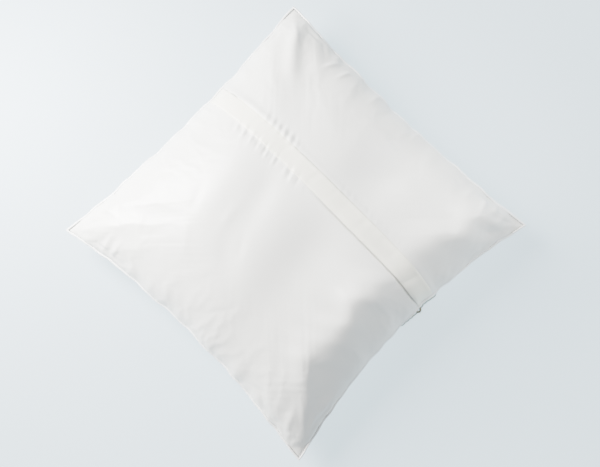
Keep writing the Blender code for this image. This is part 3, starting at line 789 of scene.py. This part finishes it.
BACK_FIELD = back_field()
BACK_UP = normals_of(FIELD_FORM + BACK_FIELD)


def back_surface(s, t, lift=0.0, inset=0.0, share=1.0):
    """Points of the dressed back, lift above its face; inner layers follow a share of its folds."""
    u, v = u_of(s), u_of(t)
    move = sample(BACK_FIELD, u, v) * share
    up = sample(BACK_UP, u, v)
    up = up / np.maximum(np.linalg.norm(up, axis=-1, keepdims=True), 1e-9)
    return back_form(s, t, inset) + move + up * np.asarray(lift)[..., None]


def front_surface(s, t, inset=0.0, share=1.0, level=rest_level):
    """Points of the dressed front, flattened where it rests."""
    x, y = plan(s, t, inset)
    u, v = u_of(s), u_of(t)
    hanging = hanging_z(s, t, inset)
    floor = level(s, t) + inset
    free = ramp(hanging - floor, 0.0, 0.010) * ramp(bulge(s, t), 0.02, 0.3)
    fold = sample(SIMULATED, v, u) * 0.45
    fold[..., 2] = -fold[..., 2] - seam_puckers(u, v, 300, 0.0006, 0.0035, 0.009)
    points = stacked(x, y, hanging) + fold * free[..., None] * share + edge_wave(s, t) * share
    points[..., 2] = np.maximum(points[..., 2], floor)
    return points


def cloth_place(s, t):
    return stacked(u_of(s) * CLOTH_SIDE, u_of(t) * CLOTH_SIDE, 0.0)


def panel_grid(columns, shares, low, high):
    """s and t over a panel: shares is the place of each row between its two edges, functions of s."""
    s = np.repeat(s_of(np.linspace(0, 1, columns))[:, None], len(shares), axis=1)
    start, end = u_of(low(s[:, 0])), u_of(high(s[:, 0]))
    share = np.asarray(shares)[None]
    return s, s_of(start[:, None] * (1 - share) + end[:, None] * share)


# Cover.

IVORY_LOW, IVORY_HIGH = (0.785, 0.78, 0.735), (0.835, 0.83, 0.785)
CREAM_LOW, CREAM_HIGH = (0.89, 0.872, 0.745), (0.93, 0.915, 0.80)
CLOTH = 0.0005  # thickness of the satin


def main_edge(s):
    return t_at(s, ZIP_Y - COIL_GAP / 2 - COIL_WIDTH - 2.5 * CLEARANCE)


def low_seam(s):
    return np.full_like(s, -1.0)


def high_seam(s):
    return np.full_like(s, 1.0)


def make_back_panel(name, shares, low, high, material, node_name):
    s, t = panel_grid(PANEL_COLUMNS, shares, low, high)
    panel = shell(name, back_surface(s, t), back_surface(s, t, lift=-CLOTH + 0.0 * s), cloth_place(s, t))
    dress(panel, material, "cover", "cover_satin", node_name)
    return panel


def make_front_panel(material):
    s, t = panel_grid(200, np.linspace(0, 1, 200), low_seam, high_seam)
    outer = front_surface(s, t)
    inner = outer + normals_of(outer) * CLOTH
    inner[..., 2] = np.maximum(inner[..., 2], outer[..., 2])
    panel = shell("cover_front", inner, outer, cloth_place(s, t))
    dress(panel, material, "cover", "cover_satin", "front_panel")


def seam_points(count, inset):
    """Points all round the seam, and the outward direction at each."""
    line = s_of(np.linspace(0, 1, count + 1))[:-1]
    ones = np.ones_like(line)
    s = np.concatenate([line, ones, -line, -ones])
    t = np.concatenate([-ones, line, ones, -line])
    x, y = plan(s, t, inset)
    return stacked(x, y, seam_z(s, t)) + edge_wave(s, t)


def make_piping(material, thread):
    path = seam_points(260, -PIPING_RADIUS - CLEARANCE)
    path[:, 2] += 0.0004
    twist = 1 + 0.10 * np.sin(np.arange(len(path)) * 1.9)
    piping = tube("edge_piping_cord", path, PIPING_RADIUS * 1.25 * twist, sides=10, closed=True)
    dress(piping, material, "cover", "piping_satin", "edge_piping")
    # Short dashes of thread sunk in the groove between piping and cover; their dark colour is painted shade
    # of the groove.
    groove_line = seam_points(900, -0.00012)
    groove_line[:, 2] += 0.00095
    pitch, shortest = 9, 5
    stitches = []
    for i in range(0, len(groove_line) - shortest - 1, pitch):
        length = shortest + (i // pitch * 7) % 3
        stitches.append(tube("stitch", groove_line[i:i + length], 0.00024, sides=5))
    seam = joined("edge_seam_shaded_stitches", stitches)
    dress(seam, thread, "cover", "piping_satin")


# Flap.


def flap_lift(x, q):
    """Height of the flap's underside above the cover."""
    free = 0.00025 + 0.00085 * within(x, -0.015, 0.030, 0.078, 0.088)
    return 0.00012 + (free - 0.00012) * ramp(q, 0.1, 1.0)


def make_flap(material):
    """One folded strip from seam to seam, sewn along its upper edge and at both ends."""
    columns, rows = 300, 16
    s = np.repeat(s_of(np.linspace(0.004, 0.996, columns))[:, None], rows, axis=1)
    q = np.repeat(np.linspace(0.0, 1.0, rows)[None] ** 0.9, columns, axis=0)
    t = np.stack([flap_t(s[:, j], q[:, j]) for j in range(rows)], axis=1)
    x = plan(s, t)[0]
    fade = 1 - 0.8 * ramp(np.abs(s), 0.93, 1.0)
    round_off = np.sqrt(np.clip(1 - (np.abs(2 * q - 1)) ** 14, 0.0, 1.0))
    gather = 0.00010 * waves(x + 0.002 * q, 0.006, 21) * (1 - q) + 0.00010 * waves(x, 0.019, 22) * q
    gather = gather - 0.00030 * raised_end(x) * (1 - ramp(q, 0.05, 0.32))
    gather = gather - 0.00025 * bell(x + 0.034, 0.006) * bell(q - 0.35, 0.3)
    bead = 0.00016 * bell(q - 0.95, 0.05)
    wall = (0.00006 + 0.00050 * round_off) * fade + bead
    low = flap_lift(x, q) * fade
    top = back_surface(s, t, low + wall + gather * fade)
    bottom = back_surface(s, t, low)
    cloth = stacked(u_of(s) * CLOTH_SIDE, q * FLAP_WIDTH, 0.3)
    top, bottom, cloth = (a[:, ::-1] for a in (top, bottom, cloth))
    flap = shell("zip_flap_strip", top, bottom, cloth)
    flap.data.set_sharp_from_angle(angle=math.radians(75))
    flap.data.materials.append(material)
    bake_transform(flap)
    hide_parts("zip_flap")


# Zip.


def arc_frame(x, height):
    """Matrix of a frame on the zip's arc at x: X along the arc, Y across it, Z out of it."""
    angle = math.asin((x - ZIP_CENTRE_X) / ZIP_RADIUS)
    turn = Matrix.Rotation(angle, 4, "Y")
    radius = ZIP_RADIUS + height
    place = (ZIP_CENTRE_X + radius * math.sin(angle), ZIP_Y, ZIP_CENTRE_Z + radius * math.cos(angle))
    return Matrix.Translation(place) @ turn


def make_tape(name, side, material):
    low = float(s_at(FLAP_X_LEFT - TAPE_TAIL, ZIP_T))
    high = float(s_at(FLAP_X_RIGHT + TAPE_TAIL, ZIP_T))
    columns, rows = 190, 22
    s = np.repeat(np.linspace(low, high, columns)[:, None], rows, axis=1)
    reach = np.linspace(COIL_GAP / 2, TAPE_REACH, rows)
    y = np.repeat(np.sort(ZIP_Y + side * reach)[None], columns, axis=0)
    t = t_at(s, y)
    points = back_form(s, t)
    share = groove(points[..., 1])
    sunk = broad_height(points[..., 0], points[..., 1]) * 0.3
    under = points[..., 2] + sunk - COVER_WALL - 2 * CLEARANCE
    top = points.copy()
    under = np.minimum(under, points[..., 2] - 0.001)
    top[..., 2] = share * (arc_z(points[..., 0]) - TAPE_DEPTH) + (1 - share) * under
    rib = 0.00006 * np.sin(2 * math.pi * points[..., 0] / 0.0011) * share
    bottom = top.copy()
    top[..., 2] += rib
    bottom[..., 2] -= TAPE_WALL
    cloth = stacked(points[..., 0], points[..., 1], float(side))
    tape = shell(name + "_woven", top, bottom, cloth)
    dress(tape, material, "cover", "zip_tape_weave", name)


def make_coil(name, side, material, thread):
    """A flattened nylon spiral, with the stitches that hold it to its tape."""
    start = COIL_X_LEFT + STOP_LENGTH + CLEARANCE
    end = FLAP_X_RIGHT - STOP_LENGTH - CLEARANCE
    pitch = 0.00115
    turns = int((end - start) / pitch)
    wire = 0.00021
    angle = np.linspace(0, 2 * math.pi * turns, turns * 12 + 1)
    x = start + (end - start) * angle / angle[-1]
    middle = ZIP_Y + side * (COIL_GAP + COIL_WIDTH) / 2
    y = middle + side * (COIL_WIDTH / 2 - wire) * np.cos(angle)
    z = arc_z(x) - TAPE_DEPTH + CLEARANCE / 2 + COIL_HEIGHT / 2 + (COIL_HEIGHT / 2 - wire) * np.sin(angle)
    spiral = tube(name + "_spiral", stacked(x, y, z), wire, sides=6, up=(0.9, 0.1, 0.2))
    dress(spiral, material, "cover", "zip_coil_nylon", name)
    xs = np.linspace(start, end, 260)
    holding = stacked(xs, middle + 0.0002 * np.sin(xs * 2 * math.pi / pitch),
                      arc_z(xs) - TAPE_DEPTH + COIL_HEIGHT + 0.00012)
    line = tube(name + "_thread", holding, 0.00012, sides=6)
    dress(line, thread, "cover", "zip_coil_nylon")


def box_outline(x_low, x_high, y_low, y_high):
    return [(x_low, y_low), (x_high, y_low), (x_high, y_high), (x_low, y_high)]


def make_stop(name, x, y_low, y_high, material):
    """A folded metal staple with rounded edges."""
    half = STOP_LENGTH / 2
    outline = box_outline(-half, half, y_low - ZIP_Y, y_high - ZIP_Y)
    block = plate(name + "_staple", outline, 0.0, COIL_HEIGHT, 0.00025)
    block.data.transform(arc_frame(x, -TAPE_DEPTH + CLEARANCE / 2))
    dress(block, material, "cover", "zip_stop_metal", name)


def make_stops(material):
    near, far = COIL_GAP / 2, COIL_GAP / 2 + COIL_WIDTH
    x = FLAP_X_RIGHT - STOP_LENGTH / 2
    make_stop("zip_top_stop_lower", x, ZIP_Y - far, ZIP_Y - near, material)
    make_stop("zip_top_stop_upper", x, ZIP_Y + near, ZIP_Y + far, material)
    make_stop("zip_bottom_stop", COIL_X_LEFT + STOP_LENGTH / 2, ZIP_Y - far, ZIP_Y + far, material)


def slider_outline():
    half, wide, nose = SLIDER_LENGTH / 2, SLIDER_WIDTH / 2, SLIDER_NOSE / 2
    near = [(-half, -wide + 0.0006), (half - 0.002, -wide), (half, -nose)]
    return near + [(x, -y) for x, y in reversed(near)]


def make_slider(material):
    """Two rounded plates with rolled sides, joined by a post, and a cast arch for the pull."""
    outline = rounded(slider_outline(), 0.0007)
    upper = plate("upper", outline, ZIP_STACK - SLIDER_PLATE, ZIP_STACK, 0.0002)
    lower = plate("lower", outline, 0.0, SLIDER_PLATE, 0.0002)
    back = SLIDER_LENGTH / 2
    post = plate("post", box_outline(back - 0.003, back - 0.0008, -0.0002, 0.0002),
                 SLIDER_PLATE / 2, ZIP_STACK - SLIDER_PLATE / 2, 0.00005)
    rails = []
    for side in (-1, 1):
        wide = SLIDER_WIDTH / 2
        line = [(-back + 0.0006, wide - 0.00085), (0.0, wide - 0.0005),
                (back - 0.0022, wide - 0.00035), (back - 0.0006, SLIDER_NOSE / 2 + 0.0002)]
        path = [(x, side * y, ZIP_STACK - SLIDER_PLATE) for x, y in line]
        rails.append(tube("rail", path, 0.00032, sides=8))
    turn = np.linspace(0, math.pi, 17)
    reach, top = BAIL_LENGTH / 2 - BAIL_STRAP / 2, BAIL_HOLE + BAIL_STRAP / 2
    rise = np.sin(turn) ** 0.55 * top
    arch = stacked(-np.cos(turn) * reach, 0.0, ZIP_STACK - 0.0001 + rise)
    bail = tube("bail", arch, BAIL_WIDTH / 2, sides=10, squash=0.5, up=(0.0, 1.0, 0.0))
    slider = joined("zip_slider_cast", [upper, lower, post, bail] + rails)
    slider.data.transform(arc_frame(SLIDER_X, -SLIDER_HEIGHT))
    dress(slider, material, "slider", "zip_slider_lacquer", "zip_slider")


def make_pull(material):
    bar, side, far = PULL_WALL / 2, PULL_WIDTH / 2, -PULL_LENGTH
    waist = 0.7 * side
    tip, end = side * 0.58, side * 0.36
    outline = [(bar, -side), (bar, side), (far * 0.42, side), (far * 0.6, waist), (far * 0.88, tip),
               (far, end), (far, -end), (far * 0.88, -tip), (far * 0.6, -waist), (far * 0.42, -side)]
    eye, hole_end = BAIL_WIDTH / 2 + CLEARANCE, -BAIL_LENGTH / 2 - 2 * CLEARANCE
    hole = box_outline(-bar, hole_end, -eye, eye)
    tab = plate("tab", rounded(outline, 0.00025, 2), -PULL_WALL / 2, PULL_WALL / 2, 0.00016, hole)
    rim = rounded([(far * 0.9, -waist * 0.42), (far * 0.6, -waist * 0.55), (far * 0.6, waist * 0.55),
                   (far * 0.9, waist * 0.42)], 0.0004, 3)
    border = tube("border", [(x, y, PULL_WALL / 2) for x, y in rim], 0.00012, sides=6, closed=True)
    pull = joined("zip_pull_tab", [tab, border])
    pull.data.transform(arc_frame(SLIDER_X, -SLIDER_HEIGHT + ZIP_STACK + BAIL_HOLE / 2))
    dress(pull, material, "pull", "zip_slider_lacquer", "zip_pull")


# Insert.


def insert_back(s, t, inset):
    x, y = plan(s, t, inset)
    share = groove(y) * (1 - ramp(np.abs(s), 0.93, 0.99))
    floor = arc_z(x) - SLIDER_HEIGHT - RUNNING - (inset - CASING_INSET) - 0.0002
    points = back_surface(s, t, inset=inset, share=0.8)
    points[..., 2] -= 0.0004
    points[..., 2] = share * floor + (1 - share) * points[..., 2]
    return points


def closed_pad(name, top, bottom, cloth):
    """A closed pad from two grids that meet along their edges."""
    columns, rows = top.shape[:2]
    seam = (top + bottom) / 2
    for grid in (top, bottom):
        grid[0], grid[-1], grid[:, 0], grid[:, -1] = seam[0], seam[-1], seam[:, 0], seam[:, -1]
    faces = np.concatenate([grid_faces(columns, rows), grid_faces(columns, rows, columns * rows, True)])
    pad = put_mesh(name, np.concatenate([top.reshape(-1, 3), bottom.reshape(-1, 3)]), faces,
                   np.concatenate([cloth.reshape(-1, 3)] * 2))
    reworked(pad, lambda work: bmesh.ops.remove_doubles(work, verts=work.verts, dist=1e-6))
    pad.data.shade_smooth()
    return pad


def make_insert(muslin, batting):
    s, t = panel_grid(150, np.linspace(0, 1, 150), low_seam, high_seam)
    cloth = cloth_place(s, t)
    casing = closed_pad("insert_casing", insert_back(s, t, CASING_INSET),
                        front_surface(s, t, CASING_INSET, 0.7), cloth)
    dress(casing, muslin, "cover", "insert_muslin", "insert_casing_back", "insert_casing_front")
    s, t = s[::2, ::2], t[::2, ::2]
    clumps = 0.0009 * waves(s * HALF, 0.013, 81) * waves(t * HALF, 0.015, 82)
    top = insert_back(s, t, FILLING_INSET)
    top[..., 2] -= 0.0010 - clumps
    bottom = front_surface(s, t, FILLING_INSET, 0.6)
    bottom[..., 2] += 0.0010 + clumps
    pad = closed_pad("fibre_batting", top, bottom, cloth[::2, ::2])
    dress(pad, batting, "cover", "polyester_fibre", "fibre_filling")


# Front trim and bow.


TRIM_REACH = 0.985  # how far the trim runs towards the seams, in s
TRIM_WEAVE, TRIM_CORD = 0.00035, 0.00030  # the band's thickness and its cords' radius


def trim_surface(s, t, lift):
    """Points on the front's outer face under the trim, lift below it."""
    return front_surface(s, t, -CLEARANCE - lift, 1.0, lambda a, b: bow_dent(a, b) + TRIM_RECESS)


def trim_t(share):
    """t at a share of the trim's width."""
    return TRIM_LOW + (TRIM_HIGH - TRIM_LOW) * share


def make_trim(material, shaded_gold):
    """Woven metal-thread band with corded edges, a plaited middle and loop edging."""
    rows = 26
    s = np.repeat(np.linspace(-TRIM_REACH, TRIM_REACH, 300)[:, None], rows, axis=1)
    share = np.linspace(0, 1, rows)[None] + 0 * s
    t = trim_t(share)
    relief = 0.00022 * np.abs(np.sin(s * HALF * 2 * math.pi / 0.009 + share * math.pi * 2))
    top = trim_surface(s, t, 0.0)
    bottom = trim_surface(s, t, TRIM_WEAVE)
    bottom[..., 2] += 0.5 * relief
    cloth = stacked(s * HALF, share * TRIM_WIDTH, 0.0)
    band = shell("gold_trim_band", top, bottom, cloth)
    dress(band, material, "cover", "antique_gold_trim", "front_trim_band")
    line = np.linspace(-TRIM_REACH, TRIM_REACH, 700)
    twins = (0.0, math.pi)
    edging = [(middle, 0.018, 0.0030, phase) for middle in (0.06, 0.94) for phase in twins]
    plaiting = [(0.5, 0.16, 0.0120, phase) for phase in twins + (math.pi / 2, -math.pi / 2)]
    cords = []
    for middle, swing, wave, phase in edging + plaiting:
        turn = 2 * math.pi * line * HALF / wave + phase
        path = trim_surface(line, trim_t(middle + swing * np.sin(turn)), TRIM_CORD + 0.0001)
        path[:, 2] = np.maximum(path[:, 2], 0.00035)
        cords.append(tube("cord", path, TRIM_CORD, sides=6, squash=0.8))
    # The cords take the darker gold, which is partly dull antique gold and partly painted shade.
    plait = joined("gold_trim_cords", cords)
    dress(plait, shaded_gold, "cover", "antique_gold_trim")
    make_trim_ends(shaded_gold)


def make_trim_ends(material):
    """Loops of the trim's edging in the side seams: clear of the right one, under the left one. Their very
    dark gold is partly dull antique gold and partly painted shade of the seam.
    """
    loops = []
    turn = np.linspace(0, math.pi, 11)
    for side in (1.0, -1.0):
        reach, start = (0.0010, 0.0014) if side > 0 else (-0.0003, 0.0006)
        for k, y in enumerate(np.linspace(0.0030, 0.0285, 9)):
            bold = 1.8 if k == 4 else 1.0
            ys = y + (0.0013 / bold**0.5 + 0.0003 * math.sin(5 * k)) * np.cos(turn)
            edge = np.full_like(ys, side)
            t = t_at(edge, ys)
            x, y_plan = plan(edge, t)
            out = x + side * (start + reach * bold * np.sin(turn) ** 0.5)
            z = seam_z(edge, t) - 0.0008 - 0.0003 * np.sin(turn)
            path = stacked(out, y_plan, z) + edge_wave(edge, t)
            loops.append(tube("loop", path, 0.00038 * bold, sides=7))
    ends = joined("gold_trim_end_loops", loops)
    dress(ends, material, "cover", "antique_gold_trim")


def ribbon(name, path, widths, wall, pleat):
    """A strip of ribbon along a path, its width along Y at each point, with a soft ripple."""
    path = np.asarray(path, float)
    ahead = np.gradient(path, axis=0)
    ahead /= np.linalg.norm(ahead, axis=1, keepdims=True)
    across = np.array([0.0, 1.0, 0.0]) - ahead * ahead[:, 1:2]
    across /= np.linalg.norm(across, axis=1, keepdims=True)
    out = np.cross(ahead, across)
    share = np.linspace(-0.5, 0.5, 13)
    gathered = 1 - ramp(np.abs(path[:, 0]), 0.004, 0.016)
    ripple = pleat * np.cos(share * 2 * math.pi * 3)[None] * gathered[:, None]
    body = path[:, None] + across[:, None] * (share[None, :, None] * np.asarray(widths)[:, None, None])
    top = body + out[:, None] * (wall / 2 + ripple)[..., None]
    bottom = body + out[:, None] * (ripple - wall / 2)[..., None]
    return shell(name, top, bottom, stacked(lengths(path)[:, None], share[None] * BOW_WIDTH, 0.0))


def make_bow(material):
    """A flat made-up bow under the front: two loops, two tails and a knot."""
    knot_low = TRIM_LIFT
    loops_low = knot_low + RIBBON_WALL + CLEARANCE
    tails_low = loops_low + LOOP_WALL + CLEARANCE
    half = BOW_LENGTH / 2
    turn = np.linspace(-math.pi / 2, math.pi / 2, 9)
    thin = 0.00016
    radius = (LOOP_WALL - thin) / 2
    pieces = []
    for sign in (-1, 1):
        out = np.linspace(0.0005, half - radius, 40)
        xs = np.concatenate([out, half - radius + radius * np.cos(turn), out[::-1]])
        zs = np.concatenate([0 * out - radius, radius * np.sin(turn), 0 * out + radius])
        path = stacked(sign * xs, TRIM_Y, zs + loops_low + LOOP_WALL / 2)
        share = np.clip(xs / half, 0, 1)
        widths = WAIST_WIDTH + (BOW_WIDTH - WAIST_WIDTH) * ramp(share, 0.16, 0.62)
        widths = widths - 0.003 * ramp(share, 0.85, 1.0)
        pieces.append(ribbon("loop", path, widths, thin, pleat=0.00010))
    loops = joined("bow_ribbon_loops", pieces)
    dress(loops, material, "cover", "ribbon_satin", "bow_loops")
    pieces = []
    for sign in (-1, 1):
        end = half * 0.85
        xs = np.linspace(0.0, end - TAIL_WIDTH * 0.35, 40)
        ys = TRIM_Y - (xs / end) ** 1.6 * (BOW_WIDTH / 2 - TAIL_WIDTH / 2 + 0.0002)
        path = stacked(sign * xs, ys, tails_low + RIBBON_WALL / 2)
        widths = WAIST_WIDTH * 0.8 + (TAIL_WIDTH - WAIST_WIDTH * 0.8) * ramp(xs / end, 0.1, 0.6)
        pieces.append(ribbon("tail", path, widths, 0.00030, pleat=0.00005))
    tails = joined("bow_ribbon_tails", pieces)
    dress(tails, material, "cover", "ribbon_satin", "bow_tails")
    make_knot(material, knot_low, tails_low + RIBBON_WALL + CLEARANCE)


def make_knot(material, low, high):
    """A sleeve of ribbon round the waist of the bow, with three soft pleats."""
    turn = np.linspace(0, 2 * math.pi, 49)[:-1]
    middle = (low + high + RIBBON_WALL) / 2
    reach = WAIST_WIDTH / 2 + CLEARANCE + RIBBON_WALL / 2
    rise = (high + RIBBON_WALL - low) / 2 - RIBBON_WALL / 2
    columns = np.linspace(-KNOT_LENGTH / 2, KNOT_LENGTH / 2, 22)
    c, s = np.cos(turn), np.sin(turn)
    y = np.sign(c) * np.abs(c) ** 0.4 * reach
    z = np.sign(s) * np.abs(s) ** 0.4 * rise
    pleats = 0.00007 * np.cos(columns / KNOT_LENGTH * 2 * math.pi * 3)
    grids = []
    for wall in (RIBBON_WALL / 2 - 0.0001, 0.0001 - RIBBON_WALL / 2):
        grow = 1 + (wall + pleats[:, None]) / 0.002
        grids.append(stacked(
            columns[:, None], TRIM_Y + y[None] * (1 + (grow - 1) * 0.5), middle + z[None] * grow))
    outer, inner = grids
    count = outer.shape[0] * outer.shape[1]
    index = np.arange(count).reshape(outer.shape[:2])
    after = np.roll(index, -1, axis=1)
    faces = [stacked(index[:-1], after[:-1], after[1:], index[1:]).reshape(-1, 4),
             stacked(index[:-1], index[1:], after[1:], after[:-1]).reshape(-1, 4) + count,
             stacked(index[0], index[0] + count, after[0] + count, after[0]),
             stacked(index[-1], after[-1], after[-1] + count, index[-1] + count)]
    cloth = stacked(turn[None] * 0.002, columns[:, None], 0.0)
    knot = put_mesh("bow_ribbon_knot", np.concatenate([outer.reshape(-1, 3), inner.reshape(-1, 3)]),
                    np.concatenate(faces), np.concatenate([cloth.reshape(-1, 3)] * 2))
    reworked(knot, lambda work: bmesh.ops.recalc_face_normals(work, faces=work.faces))
    dress(knot, material, "cover", "ribbon_satin", "bow_knot")


# Stage.

CAMERA_AZIMUTH = 44.35
CAMERA_ELEVATION = 84.15
CAMERA_DISTANCE = 0.55
CAMERA_TARGET = Vector((0.00495, -0.00175, 0.030))
CAMERA_LENS = 53.95


def aimed(name, data, location, direction):
    obj = linked(name, data)
    obj.location = location
    obj.rotation_mode = "QUATERNION"
    obj.rotation_quaternion = direction.to_track_quat("-Z", "Y")
    return obj


def make_camera():
    azimuth, elevation = math.radians(CAMERA_AZIMUTH), math.radians(CAMERA_ELEVATION)
    back = Vector((math.sin(azimuth) * math.cos(elevation), -math.cos(azimuth) * math.cos(elevation),
                   math.sin(elevation)))
    data = bpy.data.cameras.new("camera")
    data.lens = CAMERA_LENS
    data.sensor_width = 36
    data.clip_start = 0.01
    camera = aimed("camera", data, CAMERA_TARGET + back * CAMERA_DISTANCE, -back)
    bpy.context.scene.camera = camera


def make_light(name, location, target, size, energy, colour, spread_degrees=180):
    data = bpy.data.lights.new(name, "AREA")
    data.shape = "DISK"
    data.size = size
    data.energy = energy
    data.color = colour
    data.spread = math.radians(spread_degrees)
    aimed(name, data, location, Vector(target) - Vector(location))


def make_stage():
    material, _, shader = new_material(
        "studio_floor", (0.31, 0.36, 0.40), (0.34, 0.39, 0.43), (3, 3, 3), 0.7, source="object")
    shader.inputs["Emission Color"].default_value = (0.68, 0.90, 1.0, 1.0)
    shader.inputs["Emission Strength"].default_value = 1.80
    size = 3.0
    corners = box_outline(-size, size, -size, size)
    floor = put_mesh("floor", [(x, y, -0.00005) for x, y in corners], [(0, 1, 2, 3)])
    floor.data.materials.append(material)
    make_light("window", (-0.80, -0.20, 0.68), (0.0, 0.0, 0.03), 0.62, 47.5, (1.0, 0.99, 0.97))
    make_light("glare", (-0.23, -0.09, 0.15), (-0.13, -0.05, 0.02), 0.10, 2.5, (1.0, 1.0, 1.0))
    make_light("doorway", (0.12, 0.24, 0.17), (0.045, 0.080, 0.045), 0.12, 0.11, (0.97, 0.99, 1.0), 50)
    make_light("ceiling", (0.10, 0.15, 1.30), (0.0, 0.0, 0.0), 1.4, 3.0, (0.97, 0.985, 1.0))
    world = bpy.data.worlds.new("room")
    world.use_nodes = True
    background = world.node_tree.nodes["Background"]
    background.inputs["Color"].default_value = (0.86, 0.91, 1.0, 1.0)
    background.inputs["Strength"].default_value = 0.50
    bpy.context.scene.world = world


def main():
    make_camera()
    make_stage()
    cover = satin("ivory_satin", IVORY_LOW, IVORY_HIGH, 0.36)
    small = satin("ivory_satin_small", IVORY_LOW, IVORY_HIGH, 0.36)
    cream = satin("cream_satin", CREAM_LOW, CREAM_HIGH, 0.42)
    piping = satin("piping_satin", (0.93, 0.93, 0.91), (0.97, 0.97, 0.955), 0.34)
    thread = woven("ivory_thread", (0.72, 0.70, 0.62), (0.85, 0.83, 0.76), 0.0003, 0.6)
    make_back_panel("cover_back_main", MAIN_ROWS, low_seam, main_edge, cover,
                    "back_panel_main")
    make_back_panel("cover_back_small", SMALL_ROWS, lambda s: flap_t(s, 0.12), high_seam, small,
                    "back_panel_small")
    make_front_panel(satin("ivory_satin_front", IVORY_LOW, IVORY_HIGH, 0.36))
    # The seam thread's near-black colour is painted shade of the seam's groove.
    make_piping(piping, woven("seam_thread_and_shade", (0.13, 0.125, 0.11), (0.27, 0.26, 0.23), 0.0003, 0.8))
    make_flap(cream)
    tape = woven("zip_tape", (0.80, 0.78, 0.71), (0.86, 0.84, 0.78), 0.0009, 0.8)
    coil = nylon("coil_nylon", (0.84, 0.82, 0.75), (0.90, 0.88, 0.82))
    for name, side in (("lower", -1), ("upper", 1)):
        make_tape("zip_tape_" + name, side, tape)
        make_coil("zip_coil_" + name, side, coil, thread)
    make_stops(metal("stop_metal", (0.50, 0.47, 0.40), (0.66, 0.63, 0.56), 0.32, 1.0))
    lacquer = metal("slider_lacquer", (0.84, 0.82, 0.76), (0.89, 0.87, 0.81), 0.30, 0.15)
    make_slider(lacquer)
    make_pull(lacquer)
    make_insert(woven("muslin", (0.82, 0.80, 0.74), (0.88, 0.865, 0.81), 0.0007, 0.9),
                fibre("polyester_batting", (0.86, 0.86, 0.85), (0.95, 0.95, 0.94)))
    # The cord gold is much darker than the band's. It is partly dull antique gold and partly painted shade
    # of the seam where its loops show.
    make_trim(thread_gold("gold_weave", (0.26, 0.20, 0.09), (0.46, 0.36, 0.17)),
              thread_gold("gold_cord_and_shade", (0.07, 0.06, 0.03), (0.26, 0.21, 0.10)))
    make_bow(satin("bow_satin", (0.84, 0.83, 0.79), (0.90, 0.89, 0.85), 0.34))


main()
